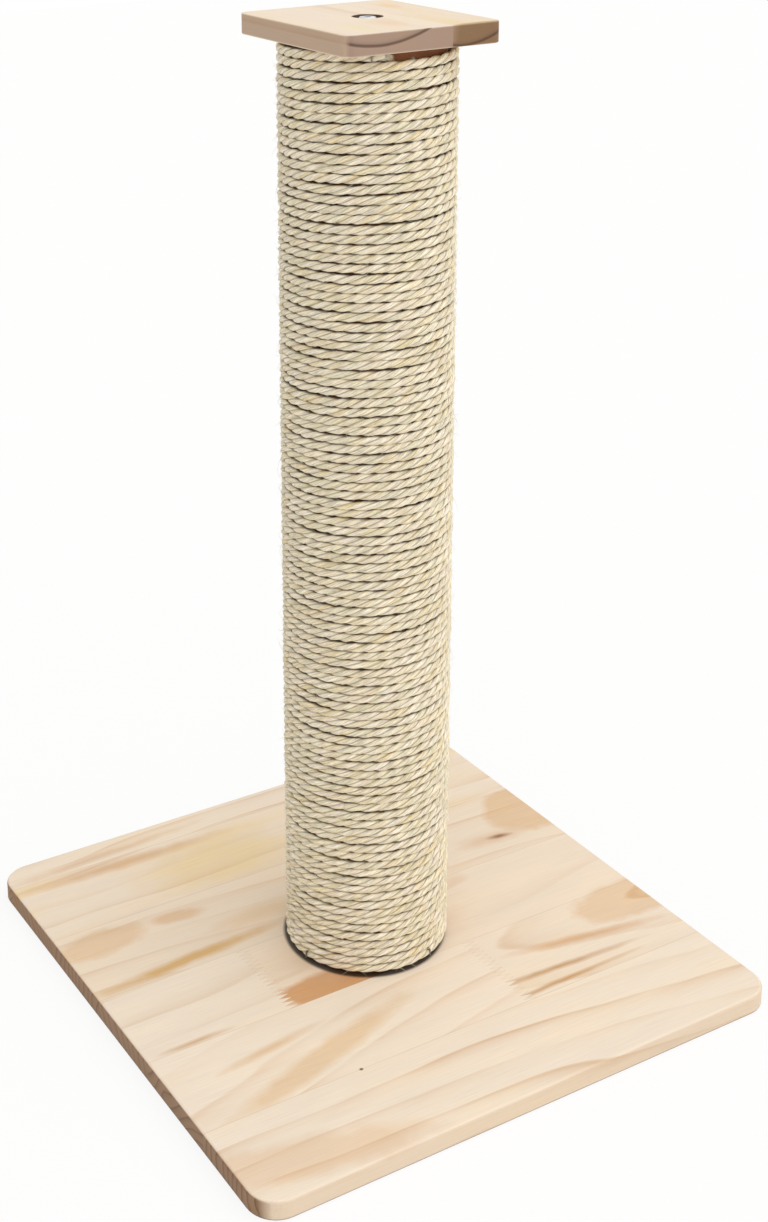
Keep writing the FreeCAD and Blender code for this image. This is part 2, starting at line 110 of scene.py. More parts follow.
def add(tree, kind, inputs=None, output=0, **settings):
    """Adds one node. Inputs maps a socket's name or number to a value or to the output driving it."""
    node = tree.nodes.new("ShaderNode" + kind)
    for name, value in settings.items():
        setattr(node, name, value)
    for socket, value in (inputs or {}).items():
        if isinstance(value, bpy.types.NodeSocket):
            tree.links.new(value, node.inputs[socket])
        else:
            node.inputs[socket].default_value = value
    return node.outputs[output] if node.outputs else None


def set_stops(ramp_output, stops, interpolation="LINEAR"):
    """Gives a colour ramp its stops, each a place from 0 to 1 and a colour."""
    ramp = ramp_output.node.color_ramp
    ramp.interpolation = interpolation
    while len(ramp.elements) < len(stops):
        ramp.elements.new(0.5)
    for element, (place, colour) in zip(ramp.elements, stops):
        element.position = place
        element.color = colour if hasattr(colour, "__len__") else (colour, colour, colour, 1.0)
    return ramp_output


def new_material(name):
    """An empty node material: its tree, its shader node and the material itself."""
    material = bpy.data.materials.new(name)
    material.use_nodes = True
    tree = material.node_tree
    tree.nodes.clear()
    shader = add(tree, "BsdfPrincipled")
    add(tree, "OutputMaterial", {"Surface": shader})
    return tree, shader.node, material


def one_over(reach):
    """One over each of three lengths, by which a place is multiplied to give a pattern its scale."""
    return tuple(1 / length for length in reach)


def dress(name, material):
    """Gives a CAD node one material in place of its own."""
    slots = nodes[name].data.materials
    slots.clear()
    slots.append(material)


print("pale pine in linear light:", [round(value, 3) for value in linear("#EBD9C3")])

# %% [markdown]
# ## Pine boards
# The boards are sawn from one panel of radiata pine: strips about 89 mm wide glued side by side,
# some of them lengthened with finger joints. Wood is a solid, so its figure is worked out in three
# dimensions. Each strip has its own pith line, and the distance from it gives the growth rings. Where
# the pith line dives under the surface the rings come out as pointed arches, and on the end faces the
# same rings are arcs. A table gives each strip its rings, which follow the arches seen on the real one.

# %% Pine: the table of strips
GRAIN_UNITS = {
    "pith": (-400.0, 400.0),
    "depth": (-100.0, 200.0),
    "dive": (-0.4, 0.4),
    "spacing": (0.0, 60.0),
}
BOARD_THICKNESS = 16.0
NO_JOINT = 400.0

# Each strip: where it starts across the board, where its finger joint is along it, and the segments
# before and after that joint. A segment: the pith's place across and its depth below the face, how
# fast it dives, the rings' spacing (all mm), where its rings start, how strong they are, and its tan
# tone, yellow tone and seed.
BASE_STRIPS = [
    (-400.0, NO_JOINT, (-272.0, 34.0, 0.15, 23.0, 0.5, 0.7, 0.04, 0.2, 0.13), None),
    (
        -151.0,
        56.0,
        (-186.0, 66.0, -0.20, 26.0, 0.10, 0.6, 0.02, 0.1, 0.31),
        (-85.0, 80.0, -0.15, 25.0, 0.40, 0.7, 0.10, 0.2, 0.57),
    ),
    (
        -60.8,
        -113.6,
        (66.0, 70.0, 0.05, 27.0, 0.30, 0.5, 0.03, 0.1, 0.77),
        (40.0, 90.0, 0.10, 30.0, 0.55, 0.45, 0.16, 0.1, 0.93),
    ),
    (27.2, NO_JOINT, (-20.0, 60.0, 0.08, 24.0, 0.20, 0.6, 0.18, 0.3, 0.42), None),
    (120.0, NO_JOINT, (236.0, 46.0, 0.02, 24.0, 0.65, 0.5, 0.12, 0.7, 0.66), None),
    (208.0, NO_JOINT, (150.0, 60.0, -0.05, 15.0, 0.35, 0.7, 0.10, 0.2, 0.21), None),
]


def share(value, unit):
    """Where a value lies between its unit's two limits, from 0 to 1, as a colour ramp holds it."""
    low, high = GRAIN_UNITS[unit]
    return (value - low) / (high - low)


def strip_tables(strips):
    """The segments' numbers as three lists of colours, in the order that the shader reads them."""
    pith_rows, ring_rows, tone_rows = [], [], []
    for start, joint, before, after in strips:
        for pith, depth, dive, spacing, offset, contrast, tan, yellow, seed in (before, after or before):
            pith_rows.append((share(pith, "pith"), share(depth, "depth"), share(dive, "dive"), 1.0))
            ring_rows.append((share(spacing, "spacing"), offset, contrast, 1.0))
            tone_rows.append((tan, yellow, seed, share(joint, "pith")))
    return pith_rows, ring_rows, tone_rows


print("strips in the base board:", len(BASE_STRIPS), "segments:", len(strip_tables(BASE_STRIPS)[0]))

# %% [markdown]
# ## Which strip a place lies in
# A shader can't read a Python table, so the table goes into stepped colour ramps, one step for each
# segment and one number in each of red, green, blue and alpha. The glue lines passed on the way
# across the board are counted, and the count picks the step. A finger joint is a zigzag line, and a
# place beyond it belongs to the strip's second segment.

# %% Pine: strips, glue lines and finger joints
FINGER_PITCH = 5.1
FINGER_LENGTH = 10.5
# Half the widths of a glue line and of a finger joint's seam, in mm.
GLUE_REACH = 0.22
SEAM_REACH = 0.45


def find_segment(tree, along, across, strips):
    """A place's segment number, its traits, and whether it is on a glue line or a finger seam.

    Number = 2 * the glue lines passed + 1 past the finger joint, whose line = the joint's place +
    a triangle wave across the strip, as high as a finger is long.
    """
    index, glue = 0.0, 0.0
    for start, *_ in strips[1:]:
        passed = add(tree, "Math", {0: across, 1: start}, operation="GREATER_THAN")
        index = add(tree, "Math", {0: index, 1: passed}, operation="ADD")
        near = add(tree, "Math", {0: across, 1: start, 2: GLUE_REACH}, operation="COMPARE")
        glue = add(tree, "Math", {0: glue, 1: near}, operation="MAXIMUM")
    piths, ring_sizes, tones = strip_tables(strips)
    count = len(piths)
    stops = [number / count for number in range(count)]

    def look_up(table, segment):
        """Reads a stepped ramp at the middle of a segment's own step."""
        middle = add(tree, "Math", {0: segment, 1: 0.5}, operation="ADD")
        middle = add(tree, "Math", {0: middle, 1: float(count)}, operation="DIVIDE")
        ramp = set_stops(add(tree, "ValToRGB", {"Fac": middle}), list(zip(stops, table)), "CONSTANT")
        colours = add(tree, "SeparateColor", {0: ramp})
        return [*colours.node.outputs, ramp.node.outputs["Alpha"]]

    def scaled(socket, unit):
        """Turns a share from a ramp back into the unit's own number."""
        low, high = GRAIN_UNITS[unit]
        return add(tree, "Math", {0: socket, 1: high - low, 2: low}, operation="MULTIPLY_ADD")

    doubled = add(tree, "Math", {0: index, 1: 2.0}, operation="MULTIPLY")
    joint = scaled(look_up(tones, doubled)[3], "pith")
    slope = 2 * FINGER_LENGTH / FINGER_PITCH
    zigzag = add(tree, "Math", {0: across, 1: FINGER_PITCH / 2}, operation="PINGPONG")
    zigzag = add(tree, "Math", {0: zigzag, 1: slope, 2: joint}, operation="MULTIPLY_ADD")
    past = add(tree, "Math", {0: along, 1: zigzag}, operation="GREATER_THAN")
    seam = add(tree, "Math", {0: along, 1: zigzag, 2: SEAM_REACH}, operation="COMPARE")
    segment = add(tree, "Math", {0: doubled, 1: past}, operation="ADD")
    traits = dict(zip(("pith", "depth", "dive"), look_up(piths, segment)))
    traits.update(zip(("spacing", "offset", "contrast"), look_up(ring_sizes, segment)))
    traits.update(zip(("tan", "yellow", "seed"), look_up(tones, segment)))
    for unit in GRAIN_UNITS:
        traits[unit] = scaled(traits[unit], unit)
    return segment, traits, glue, seam


print("a finger is", FINGER_LENGTH, "mm long, and they repeat every", FINGER_PITCH, "mm")

# %% [markdown]
# ## Growth rings
# A tree adds one ring a year: pale, wide early wood that darkens into a narrow band of late wood and
# then stops short. The number of rings out from the pith is a distance divided by their spacing. Its
# fraction tells how far through its year a place is, and its whole part which year it is, so that
# some years can be stronger than others.

# %% Pine: the rings
# How dark the wood is across one ring, on the faces along the grain.
FACE_STOPS = [(0.0, 0.0), (0.3, 0.02), (0.62, 0.16), (0.84, 0.5), (0.93, 0.95), (0.96, 0.8), (1.0, 0.0)]
WEAKEST_RING = 0.25
# A segment's seed times this is added to its years, so that no two segments have the same rings.
SEED_STEP = 57.0
# How often a ring's strength fades while its line wanders once.
FADE_SCALE = 2.6


def count_rings(tree, axes, slow, traits, waviness):
    """Rings out from the pith = distance from the pith line / spacing + offset.

    The distance is taken across the grain, and a slow noise, stretched along the grain, bends it.
    """
    along, across, below = axes
    wander = {"Vector": slow, "Scale": 1.0, "Detail": 2.0, "Roughness": 0.45}
    wander = add(tree, "TexNoise", wander, output="Color")
    wander = add(tree, "VectorMath", {0: wander, 1: (0.5, 0.5, 0.5)}, operation="SUBTRACT")
    wander = add(tree, "VectorMath", {0: wander, 1: (0.0, waviness, waviness)}, operation="MULTIPLY")
    _, wander_aside, wander_below = add(tree, "SeparateXYZ", {0: wander}).node.outputs
    aside = add(tree, "Math", {0: across, 1: traits["pith"]}, operation="SUBTRACT")
    aside = add(tree, "Math", {0: aside, 1: wander_aside}, operation="ADD")
    sunk = add(tree, "Math", {0: along, 1: traits["dive"], 2: traits["depth"]}, operation="MULTIPLY_ADD")
    sunk = add(tree, "Math", {0: sunk, 1: below}, operation="ADD")
    sunk = add(tree, "Math", {0: sunk, 1: wander_below}, operation="ADD")
    span = add(tree, "CombineXYZ", {1: aside, 2: sunk})
    radius = add(tree, "VectorMath", {0: span}, output="Value", operation="LENGTH")
    rings = add(tree, "Math", {0: radius, 1: traits["spacing"]}, operation="DIVIDE")
    return add(tree, "Math", {0: rings, 1: traits["offset"]}, operation="ADD")


def find_late_wood(tree, rings, slow, traits):
    """How dark a ring is = its profile * its own random strength * the segment's contrast * a slow
    fade, by which one ring weakens and darkens again along its length."""
    within = add(tree, "Math", {0: rings}, operation="FRACT")
    year = add(tree, "Math", {0: rings}, operation="FLOOR")
    profile = set_stops(add(tree, "ValToRGB", {"Fac": within}), FACE_STOPS)
    year = add(tree, "Math", {0: traits["seed"], 1: SEED_STEP, 2: year}, operation="MULTIPLY_ADD")
    strength = add(tree, "TexWhiteNoise", {"W": year}, output="Value", noise_dimensions="1D")
    strength = add(tree, "MapRange", {"Value": strength, "To Min": WEAKEST_RING, "To Max": 1.0})
    strength = add(tree, "Math", {0: strength, 1: traits["contrast"]}, operation="MULTIPLY")
    fade = add(tree, "TexNoise", {"Vector": slow, "Scale": FADE_SCALE, "Detail": 1.0})
    fade = {"Value": fade, "From Min": 0.35, "From Max": 0.65, "To Min": 0.35, "To Max": 1.2}
    fade = add(tree, "MapRange", fade)
    strength = add(tree, "Math", {0: strength, 1: fade}, operation="MULTIPLY")
    return add(tree, "Math", {0: profile, 1: strength}, operation="MULTIPLY", use_clamp=True)


print("late wood is darkest at", max(FACE_STOPS, key=lambda stop: stop[1])[0], "of a ring")

# %% [markdown]
# ## Patches of other tone
# Real boards also have heartwood, resin streaks and pin knots that no ring explains. Each is a lens
# centred on the face, with a wandering edge. Most are flat and end half way down the board.

# %% Pine: patches
PATCH_WANDER = 22.0


def add_patch(tree, place, segment, colour, only, middle, reach, turn, tint, strength, softness):
    """A patch of other tone: a lens centred on the face, seen there as an ellipse with an uneven edge.

    Weight = strength inside, falling to 0 where the scaled distance from the middle passes 1. The
    patch shows in one segment only, or in all of them where that is None.
    """
    lens = {"Vector": place, "Location": (*middle, 0.0), "Scale": reach}
    lens["Rotation"] = (0.0, 0.0, np.radians(turn))
    local = add(tree, "Mapping", lens, vector_type="TEXTURE")
    warp = add(tree, "TexNoise", {"Vector": place, "Scale": 1 / PATCH_WANDER, "Detail": 2.0}, output="Color")
    warp = add(tree, "VectorMath", {0: warp, 1: (0.5, 0.5, 0.5)}, operation="SUBTRACT")
    warp = add(tree, "VectorMath", {0: warp, 1: (0.5, 0.5, 0.0)}, operation="MULTIPLY")
    local = add(tree, "VectorMath", {0: local, 1: warp}, operation="ADD")
    distance = add(tree, "VectorMath", {0: local}, output="Value", operation="LENGTH")
    weight = {"Value": distance, "From Min": 1.0 - softness, "To Min": strength, "To Max": 0.0}
    weight = add(tree, "MapRange", weight)
    if only is not None:
        here = add(tree, "Math", {0: segment, 1: float(only), 2: 0.5}, operation="COMPARE")
        weight = add(tree, "Math", {0: weight, 1: here}, operation="MULTIPLY")
    return add(tree, "Mix", {"Factor": weight, 6: colour, 7: linear(tint)}, **COLOUR_MIX)


print("a patch's edge wanders every", PATCH_WANDER, "mm")

# %% [markdown]
# ## End grain, sawn edges and the bolt's recess
# Across the grain the wood's tubes are cut open, so end grain drinks more finish and looks darker. It
# is found by the way a face looks, so it fades round a rounded corner as it does on the real board.
# The sides between the rims get a painted shade, darker than the faces, and the recess's wall is darkened.

# %% Pine: end grain, painted side shade and recess
PINE_END_RING = linear("#6A4C34")
# the dark brown with which the recess's wall is darkened near the hole's axis
DARKENED_RECESS_WALL = linear("#54402E")
BOLT_HOLE_REACH = 13.0
DRILLED_REACH = 12.1
# Where under a face the sides' painted shade and the recess's darkening start and are full, in mm.
SIDE_SHADE_START, SIDE_SHADE_FULL = 0.1, 1.2
RECESS_DARK_START, RECESS_DARK_FULL = 0.1, 0.5


def paint_end_grain(tree, colour, early, rings, contrast, quarter_turn, end_tone, end_splits, end_stops):
    """End grain = early wood * end tone, darkened by end_splits rings in place of each one on the face.

    It covers the faces that look along the grain, and fades where they turn away from it.
    """
    normal = add(tree, "SeparateXYZ", {0: add(tree, "TexCoord", output="Normal")})
    facing = add(tree, "Math", {0: normal.node.outputs[1 if quarter_turn else 0]}, operation="ABSOLUTE")
    end_face = add(tree, "MapRange", {"Value": facing, "From Min": 0.6, "From Max": 0.88})
    end_grain = add(tree, "VectorMath", {0: early, 1: linear(end_tone)[:3]}, operation="MULTIPLY")
    end_rings = add(tree, "Math", {0: rings, 1: float(end_splits)}, operation="MULTIPLY")
    end_rings = add(tree, "Math", {0: end_rings}, operation="FRACT")
    end_late = set_stops(add(tree, "ValToRGB", {"Fac": end_rings}), end_stops)
    end_late = add(tree, "Math", {0: end_late, 1: contrast}, operation="MULTIPLY")
    end_grain = add(tree, "Mix", {"Factor": end_late, 6: end_grain, 7: PINE_END_RING}, **COLOUR_MIX)
    return add(tree, "Mix", {"Factor": end_face, 6: colour, 7: end_grain}, **COLOUR_MIX)


def paint_side_shade(tree, colour, place, below, side_shade_tone):
    """Painted shade on the sides: wood * the shade's tone between the board's two eased rims, away from
    the bolt's hole. Near the hole's axis the wood under the face is darkened: mixed with a dark brown."""
    half = BOARD_THICKNESS / 2
    from_middle = add(tree, "Math", {0: below, 1: half}, operation="ADD")
    from_middle = add(tree, "Math", {0: from_middle}, operation="ABSOLUTE")
    # painted shade: the sides between the rims are tinted darker than the faces
    side_shade = {"Value": from_middle, "From Min": half - SIDE_SHADE_FULL, "From Max": half - SIDE_SHADE_START}
    side_shade = add(tree, "MapRange", {**side_shade, "To Min": 1.0, "To Max": 0.0})
    from_axis = add(tree, "VectorMath", {0: place, 1: (1.0, 1.0, 0.0)}, operation="MULTIPLY")
    from_axis = add(tree, "VectorMath", {0: from_axis}, output="Value", operation="LENGTH")
    outside = add(tree, "Math", {0: from_axis, 1: BOLT_HOLE_REACH}, operation="GREATER_THAN")
    side_shade = add(tree, "Math", {0: side_shade, 1: outside}, operation="MULTIPLY")
    tint = add(tree, "Mix", {0: side_shade, 6: (1.0, 1.0, 1.0, 1.0), 7: linear(side_shade_tone)}, **COLOUR_MIX)
    colour = add(tree, "VectorMath", {0: colour, 1: tint}, operation="MULTIPLY")
    # the recess's wall under the face is darkened near the hole's axis
    drilled = add(tree, "Math", {0: from_axis, 1: DRILLED_REACH}, operation="LESS_THAN")
    sunken = {"Value": below, "From Min": -RECESS_DARK_FULL, "From Max": -RECESS_DARK_START}
    sunken = add(tree, "MapRange", {**sunken, "To Min": 1.0, "To Max": 0.0})
    recess_dark = add(tree, "Math", {0: drilled, 1: sunken}, operation="MULTIPLY")
    return add(tree, "Mix", {"Factor": recess_dark, 6: colour, 7: DARKENED_RECESS_WALL}, **COLOUR_MIX)


# prints how far from its axis the recess's wall is darkened
print("the recess is scorched out to", DRILLED_REACH, "mm from its axis")

# %% [markdown]
# ## The whole board
# One function puts these together for either board. The grain's place is turned so that its first
# axis always runs along the grain and its height is counted from the upper face, in millimetres.
# Fibres and clouds of tone come from noises stretched along the grain. Real fibres are finer than
# the 0.9 mm drawn here, which is as coarse as they need to be to show.

# %% Pine: the material
PINE_EARLY = linear("#F1E1CD")
PINE_LATE = linear("#CB9A60")
PINE_TAN = linear("#DFBE94")
PINE_YELLOW = linear("#E8CE98")
GLUE_LINE = linear("#B08A62")
GLUE_STRENGTH = 0.35
SEAM_STRENGTH = 0.45
# How far each noise reaches along, across and below before it changes, in mm.
WANDER_REACH = (300.0, 60.0, 60.0)
FIBRE_REACH = (45.0, 0.9, 0.9)
CLOUD_REACH = (160.0, 30.0, 30.0)
# A segment's seed times this moves its place in the noises, so that the figure breaks at glue lines.
SEED_SHIFT = 900.0


def make_pine(name, strips, face_height, quarter_turn, face_strength, waviness, patches, side_shade_tone, **end):
    """Solid pine: early wood with patches, late wood where a ring is dark, then glue lines, end grain,
    the sides' painted shade and the darkened recess. The colour of all that * a tone from the fibres *
    a tone from the clouds.

    The face height is the upper face's, and a quarter turn lays the grain along Y. Face strength and
    waviness belong to the rings, and end holds what the end grain's own function needs.
    """
    tree, shader, material = new_material(name)
    grain = {
        "Vector": add(tree, "TexCoord", output="Object"),
        "Location": (0.0, 0.0, -face_height),
        "Rotation": (0.0, 0.0, np.pi / 2 if quarter_turn else 0.0),
        "Scale": (1 / MM, 1 / MM, 1 / MM),
    }
    place = add(tree, "Mapping", grain)
    axes = add(tree, "SeparateXYZ", {0: place}).node.outputs
    along, across, below = axes
    segment, traits, glue, seam = find_segment(tree, along, across, strips)

    seeded = add(tree, "Math", {0: traits["seed"], 1: SEED_SHIFT}, operation="MULTIPLY")
    shifted = add(tree, "CombineXYZ", {0: seeded, 1: seeded})
    own_place = add(tree, "VectorMath", {0: place, 1: shifted}, operation="ADD")
    slow = add(tree, "VectorMath", {0: own_place, 1: one_over(WANDER_REACH)}, operation="MULTIPLY")
    thread = add(tree, "VectorMath", {0: own_place, 1: one_over(FIBRE_REACH)}, operation="MULTIPLY")
    fibres = add(tree, "TexNoise", {"Vector": thread, "Scale": 1.0, "Detail": 3.0, "Roughness": 0.6})
    broad = add(tree, "VectorMath", {0: own_place, 1: one_over(CLOUD_REACH)}, operation="MULTIPLY")
    clouds = add(tree, "TexNoise", {"Vector": broad, "Scale": 1.0, "Detail": 3.0})
    rings = count_rings(tree, axes, slow, traits, waviness)
    late = find_late_wood(tree, rings, slow, traits)

    early = add(tree, "Mix", {"Factor": traits["tan"], 6: PINE_EARLY, 7: PINE_TAN}, **COLOUR_MIX)
    golden = add(tree, "MapRange", {"Value": clouds, "From Min": 0.45, "From Max": 0.75})
    golden = add(tree, "Math", {0: golden, 1: traits["yellow"]}, operation="MULTIPLY")
    early = add(tree, "Mix", {"Factor": golden, 6: early, 7: PINE_YELLOW}, **COLOUR_MIX)
    for patch in patches:
        early = add_patch(tree, place, segment, early, *patch)
    late = add(tree, "Math", {0: late, 1: face_strength}, operation="MULTIPLY")
    colour = add(tree, "Mix", {"Factor": late, 6: early, 7: PINE_LATE}, **COLOUR_MIX)
    for line, strength in ((glue, GLUE_STRENGTH), (seam, SEAM_STRENGTH)):
        weight = add(tree, "Math", {0: line, 1: strength}, operation="MULTIPLY")
        colour = add(tree, "Mix", {"Factor": weight, 6: colour, 7: GLUE_LINE}, **COLOUR_MIX)
    colour = paint_end_grain(tree, colour, early, rings, traits["contrast"], quarter_turn, **end)
    colour = paint_side_shade(tree, colour, place, below, side_shade_tone)
    for noise, low, high in ((fibres, 0.95, 1.04), (clouds, 0.96, 1.03)):
        tone = {"Value": noise, "From Min": 0.3, "From Max": 0.7, "To Min": low, "To Max": high}
        colour = add(tree, "VectorMath", {0: colour, 1: add(tree, "MapRange", tone)}, operation="MULTIPLY")
    tree.links.new(colour, shader.inputs["Base Color"])

    bump = add(tree, "Bump", {"Height": fibres, "Strength": 0.25, "Distance": 0.12 * MM})
    tree.links.new(bump, shader.inputs["Normal"])
    rough = add(tree, "MapRange", {"Value": fibres, "To Min": 0.5, "To Max": 0.68})
    tree.links.new(rough, shader.inputs["Roughness"])
    shader.inputs["IOR"].default_value = 1.5
    shader.inputs["Specular IOR Level"].default_value = 0.35
    return material


print("a fibre is drawn", FIBRE_REACH[1], "mm wide")

# %% Pine: the base board
# Segment number, middle, half lengths along, across and below, turn, colour, strength and softness.
BASE_PATCHES = [
    (5, (-64.0, -52.0), (60.0, 22.0, 9.0), -4.0, "#CD935A", 0.85, 0.25),
    (5, (0.0, -10.0), (110.0, 50.0, 9.0), 0.0, "#E6C8A8", 0.5, 0.6),
    (6, (-205.0, 98.0), (46.0, 21.0, 9.0), 3.0, "#DEB98D", 0.6, 0.3),
    (6, (-132.0, 98.0), (30.0, 9.5, 9.0), -6.0, "#DBB07E", 0.6, 0.5),
    (8, (-60.0, 160.0), (95.0, 50.0, 9.0), 0.0, "#E6CB94", 0.5, 0.6),
    (8, (-140.0, 196.0), (130.0, 10.0, 9.0), -1.0, "#CC9A63", 0.6, 0.8),
    (10, (-150.0, 217.0), (120.0, 7.0, 9.0), 3.0, "#D2A777", 0.5, 0.8),
    (6, (-150.0, 39.0), (110.0, 9.0, 9.0), 4.0, "#D5A862", 0.85, 0.7),
    (6, (-70.0, 66.0), (60.0, 14.0, 9.0), 2.0, "#E2C094", 0.5, 0.7),
    (6, (236.0, 82.0), (50.0, 42.0, 9.0), 0.0, "#DDB586", 0.65, 0.2),
    (6, (176.0, 56.0), (44.0, 12.0, 9.0), -4.0, "#DDB892", 0.6, 0.7),
    (6, (182.0, 55.5), (16.0, 4.2, 9.0), -8.0, "#8E5630", 0.9, 0.85),
    (None, (232.0, -82.0), (76.0, 27.0, 9.0), 0.0, "#DFB98C", 0.6, 0.2),
    (0, (-196.0, -208.0), (128.0, 24.0, 9.0), -13.0, "#DDB487", 0.42, 0.4),
    (2, (-120.0, -124.0), (120.0, 15.0, 9.0), 17.0, "#DFB987", 0.6, 0.5),
    (2, (-150.0, -94.0), (60.0, 6.0, 9.0), 8.0, "#D9AE78", 0.6, 0.8),
    (3, (104.0, -128.0), (104.0, 4.6, 9.0), -3.0, "#BE8A48", 0.85, 0.95),
    (3, (100.0, -144.0), (96.0, 3.8, 9.0), 1.0, "#BE8A48", 0.85, 0.95),
    (3, (150.0, -106.0), (90.0, 7.0, 9.0), -9.0, "#D3A06A", 0.7, 0.8),
    (None, (-101.8, -151.0), (2.0, 1.6, 9.0), 0.0, "#5C3B22", 0.9, 0.4),
    (4, (-196.0, -57.0), (40.0, 4.0, 9.0), 0.0, "#C89A64", 0.7, 0.9),
]
base_pine = make_pine(
    "radiata_pine_base",
    BASE_STRIPS,
    face_height=BOARD_THICKNESS,
    quarter_turn=False,
    face_strength=0.85,
    waviness=34.0,
    patches=BASE_PATCHES,
    # the tone of the sides is a painted shade
    side_shade_tone="#EDE8E2",
    end_tone="#AE9680",
    end_splits=3,
    end_stops=[(0.0, 0.0), (0.45, 0.05), (0.74, 0.4), (0.88, 1.0), (0.965, 0.9), (1.0, 0.0)],
)
dress("base_board", base_pine)
print("base board:", len(base_pine.node_tree.nodes), "nodes")

# %% [markdown]
# ## The post's foot
# A painted contact shadow runs round the foot of the post, widest at the lower left, and the
# lowest millimetre of the board's rim is darkened as painted shadow too. Both are one factor on the
# finished wood colour.

# %% Pine: the shade at the foot
# The foot's dark ring and the rim's dark lowest millimetre are painted shadow, multiplied into the wood.
FOOT_SHADE_MIDDLE = (-2.1, 0.4)
FOOT_SHADE_REACH = 70.0
FOOT_SHADE_CORE = 0.96 * FOOT_SHADE_REACH
FOOT_SHADE_LIGHT = 0.12
RIM_SHADOW_HEIGHTS = (0.6, 1.6)
RIM_SHADOW_LIGHT = 0.3


def shade_foot(material):
    """Painted contact shadow. Light = low up to the shade's core, then rising to 1 at its reach. The
    distance is taken from the shade's middle, with the depth under the top face counted ten times, so
    that the underside stays plain. The rim's painted shadow lifts with height, and faces that look
    straight down keep their light."""
    tree = material.node_tree
    shader = [node for node in tree.nodes if node.type == "BSDF_PRINCIPLED"][0]
    colour = shader.inputs["Base Color"].links[0].from_socket
    place = add(tree, "TexCoord", output="Object")
    height = add(tree, "SeparateXYZ", {0: place}).node.outputs[2]
    place = add(tree, "VectorMath", {0: place, 1: (1 / MM, 1 / MM, 1 / MM)}, operation="MULTIPLY")
    middle = (*FOOT_SHADE_MIDDLE, BOARD_THICKNESS)
    place = add(tree, "VectorMath", {0: place, 1: middle}, operation="SUBTRACT")
    place = add(tree, "VectorMath", {0: place, 1: (1.0, 1.0, 10.0)}, operation="MULTIPLY")
    distance = add(tree, "VectorMath", {0: place}, output="Value", operation="LENGTH")
    light = {"Value": distance, "From Min": FOOT_SHADE_CORE, "From Max": FOOT_SHADE_REACH}
    light = add(tree, "MapRange", {**light, "To Min": FOOT_SHADE_LIGHT})
    # painted contact shadow: the rim's lowest millimetre is darkened
    rim_shadow = {"Value": height, "From Min": RIM_SHADOW_HEIGHTS[0] * MM, "From Max": RIM_SHADOW_HEIGHTS[1] * MM}
    rim_shadow = add(tree, "MapRange", {**rim_shadow, "To Min": RIM_SHADOW_LIGHT})
    facing = add(tree, "SeparateXYZ", {0: add(tree, "TexCoord", output="Normal")}).node.outputs[2]
    underside = add(tree, "Math", {0: facing, 1: -0.9}, operation="LESS_THAN")
    rim_shadow = add(tree, "Math", {0: rim_shadow, 1: underside}, operation="MAXIMUM")
    light = add(tree, "Math", {0: light, 1: rim_shadow}, operation="MULTIPLY")
    shaded = add(tree, "VectorMath", {0: colour, 1: light}, operation="MULTIPLY")
    tree.links.new(shaded, shader.inputs["Base Color"])


shade_foot(base_pine)
print("base board with its foot's shade:", len(base_pine.node_tree.nodes), "nodes")

# %% [markdown]
# ## The top plate
# The plate is a smaller offcut of the same panel, but its grain runs the other way, along Y, so its
# front right edge shows end grain: one wide growth ring as a dark bow, and a glue line near its end.

# %% Pine: the top plate
TOP_HEIGHT = 796.0
PLATE_STRIPS = [
    (-400.0, NO_JOINT, (-39.0, -90.3, 0.0, 24.0, 0.794, 0.85, 0.10, 0.3, 0.36), None),
    (23.0, NO_JOINT, (33.0, -53.7, 0.0, 24.0, 0.078, 0.9, 0.15, 1.0, 0.74), None),
]
PLATE_PATCHES = [
    (None, (42.0, -10.0), (26.0, 14.0, 9.0), 10.0, "#EBC79C", 0.5, 0.8),
    (None, (-40.0, 46.0), (20.0, 10.0, 9.0), 0.0, "#EBC08F", 0.6, 0.8),
    (None, (50.0, -40.0), (30.0, 12.0, 9.0), 0.0, "#EFE0A8", 0.5, 0.8),
    (2, (77.0, 47.0), (5.0, 27.0, 80.0), 0.0, "#C2A67A", 1.0, 0.3),
]
plate_pine = make_pine(
    "radiata_pine_plate",
    PLATE_STRIPS,
    face_height=TOP_HEIGHT,
    quarter_turn=True,
    face_strength=0.3,
    waviness=3.0,
    patches=PLATE_PATCHES,
    # the tone of the sides is a painted shade
    side_shade_tone="#CBBDB4",
    end_tone="#E0DADE",
    end_splits=1,
    end_stops=[(0.0, 0.0), (0.78, 0.04), (0.87, 0.25), (0.925, 1.0), (0.965, 0.85), (1.0, 0.0)],
)
dress("top_plate", plate_pine)
print("top plate:", len(plate_pine.node_tree.nodes), "nodes")

# %% [markdown]
# ## Cardboard, plywood and steel
# The tube is spiral-wound kraft board: strips of brown paper glued edge to edge at a slant, with a
# faint seam every turn. The plugs are birch plywood, whose plies show as thin dark lines round their
# rims. The bolts, washers and inserts are bright zinc-plated steel, and the nails and staples are a
# duller galvanised wire.

# %% Kraft tube
KRAFT_STRIP = 90.0
# The seam's half width as a share of a strip.
SEAM_SHARE = 0.012
PULP_GRAIN = 1.2
STAIN_SIZE = 18.0


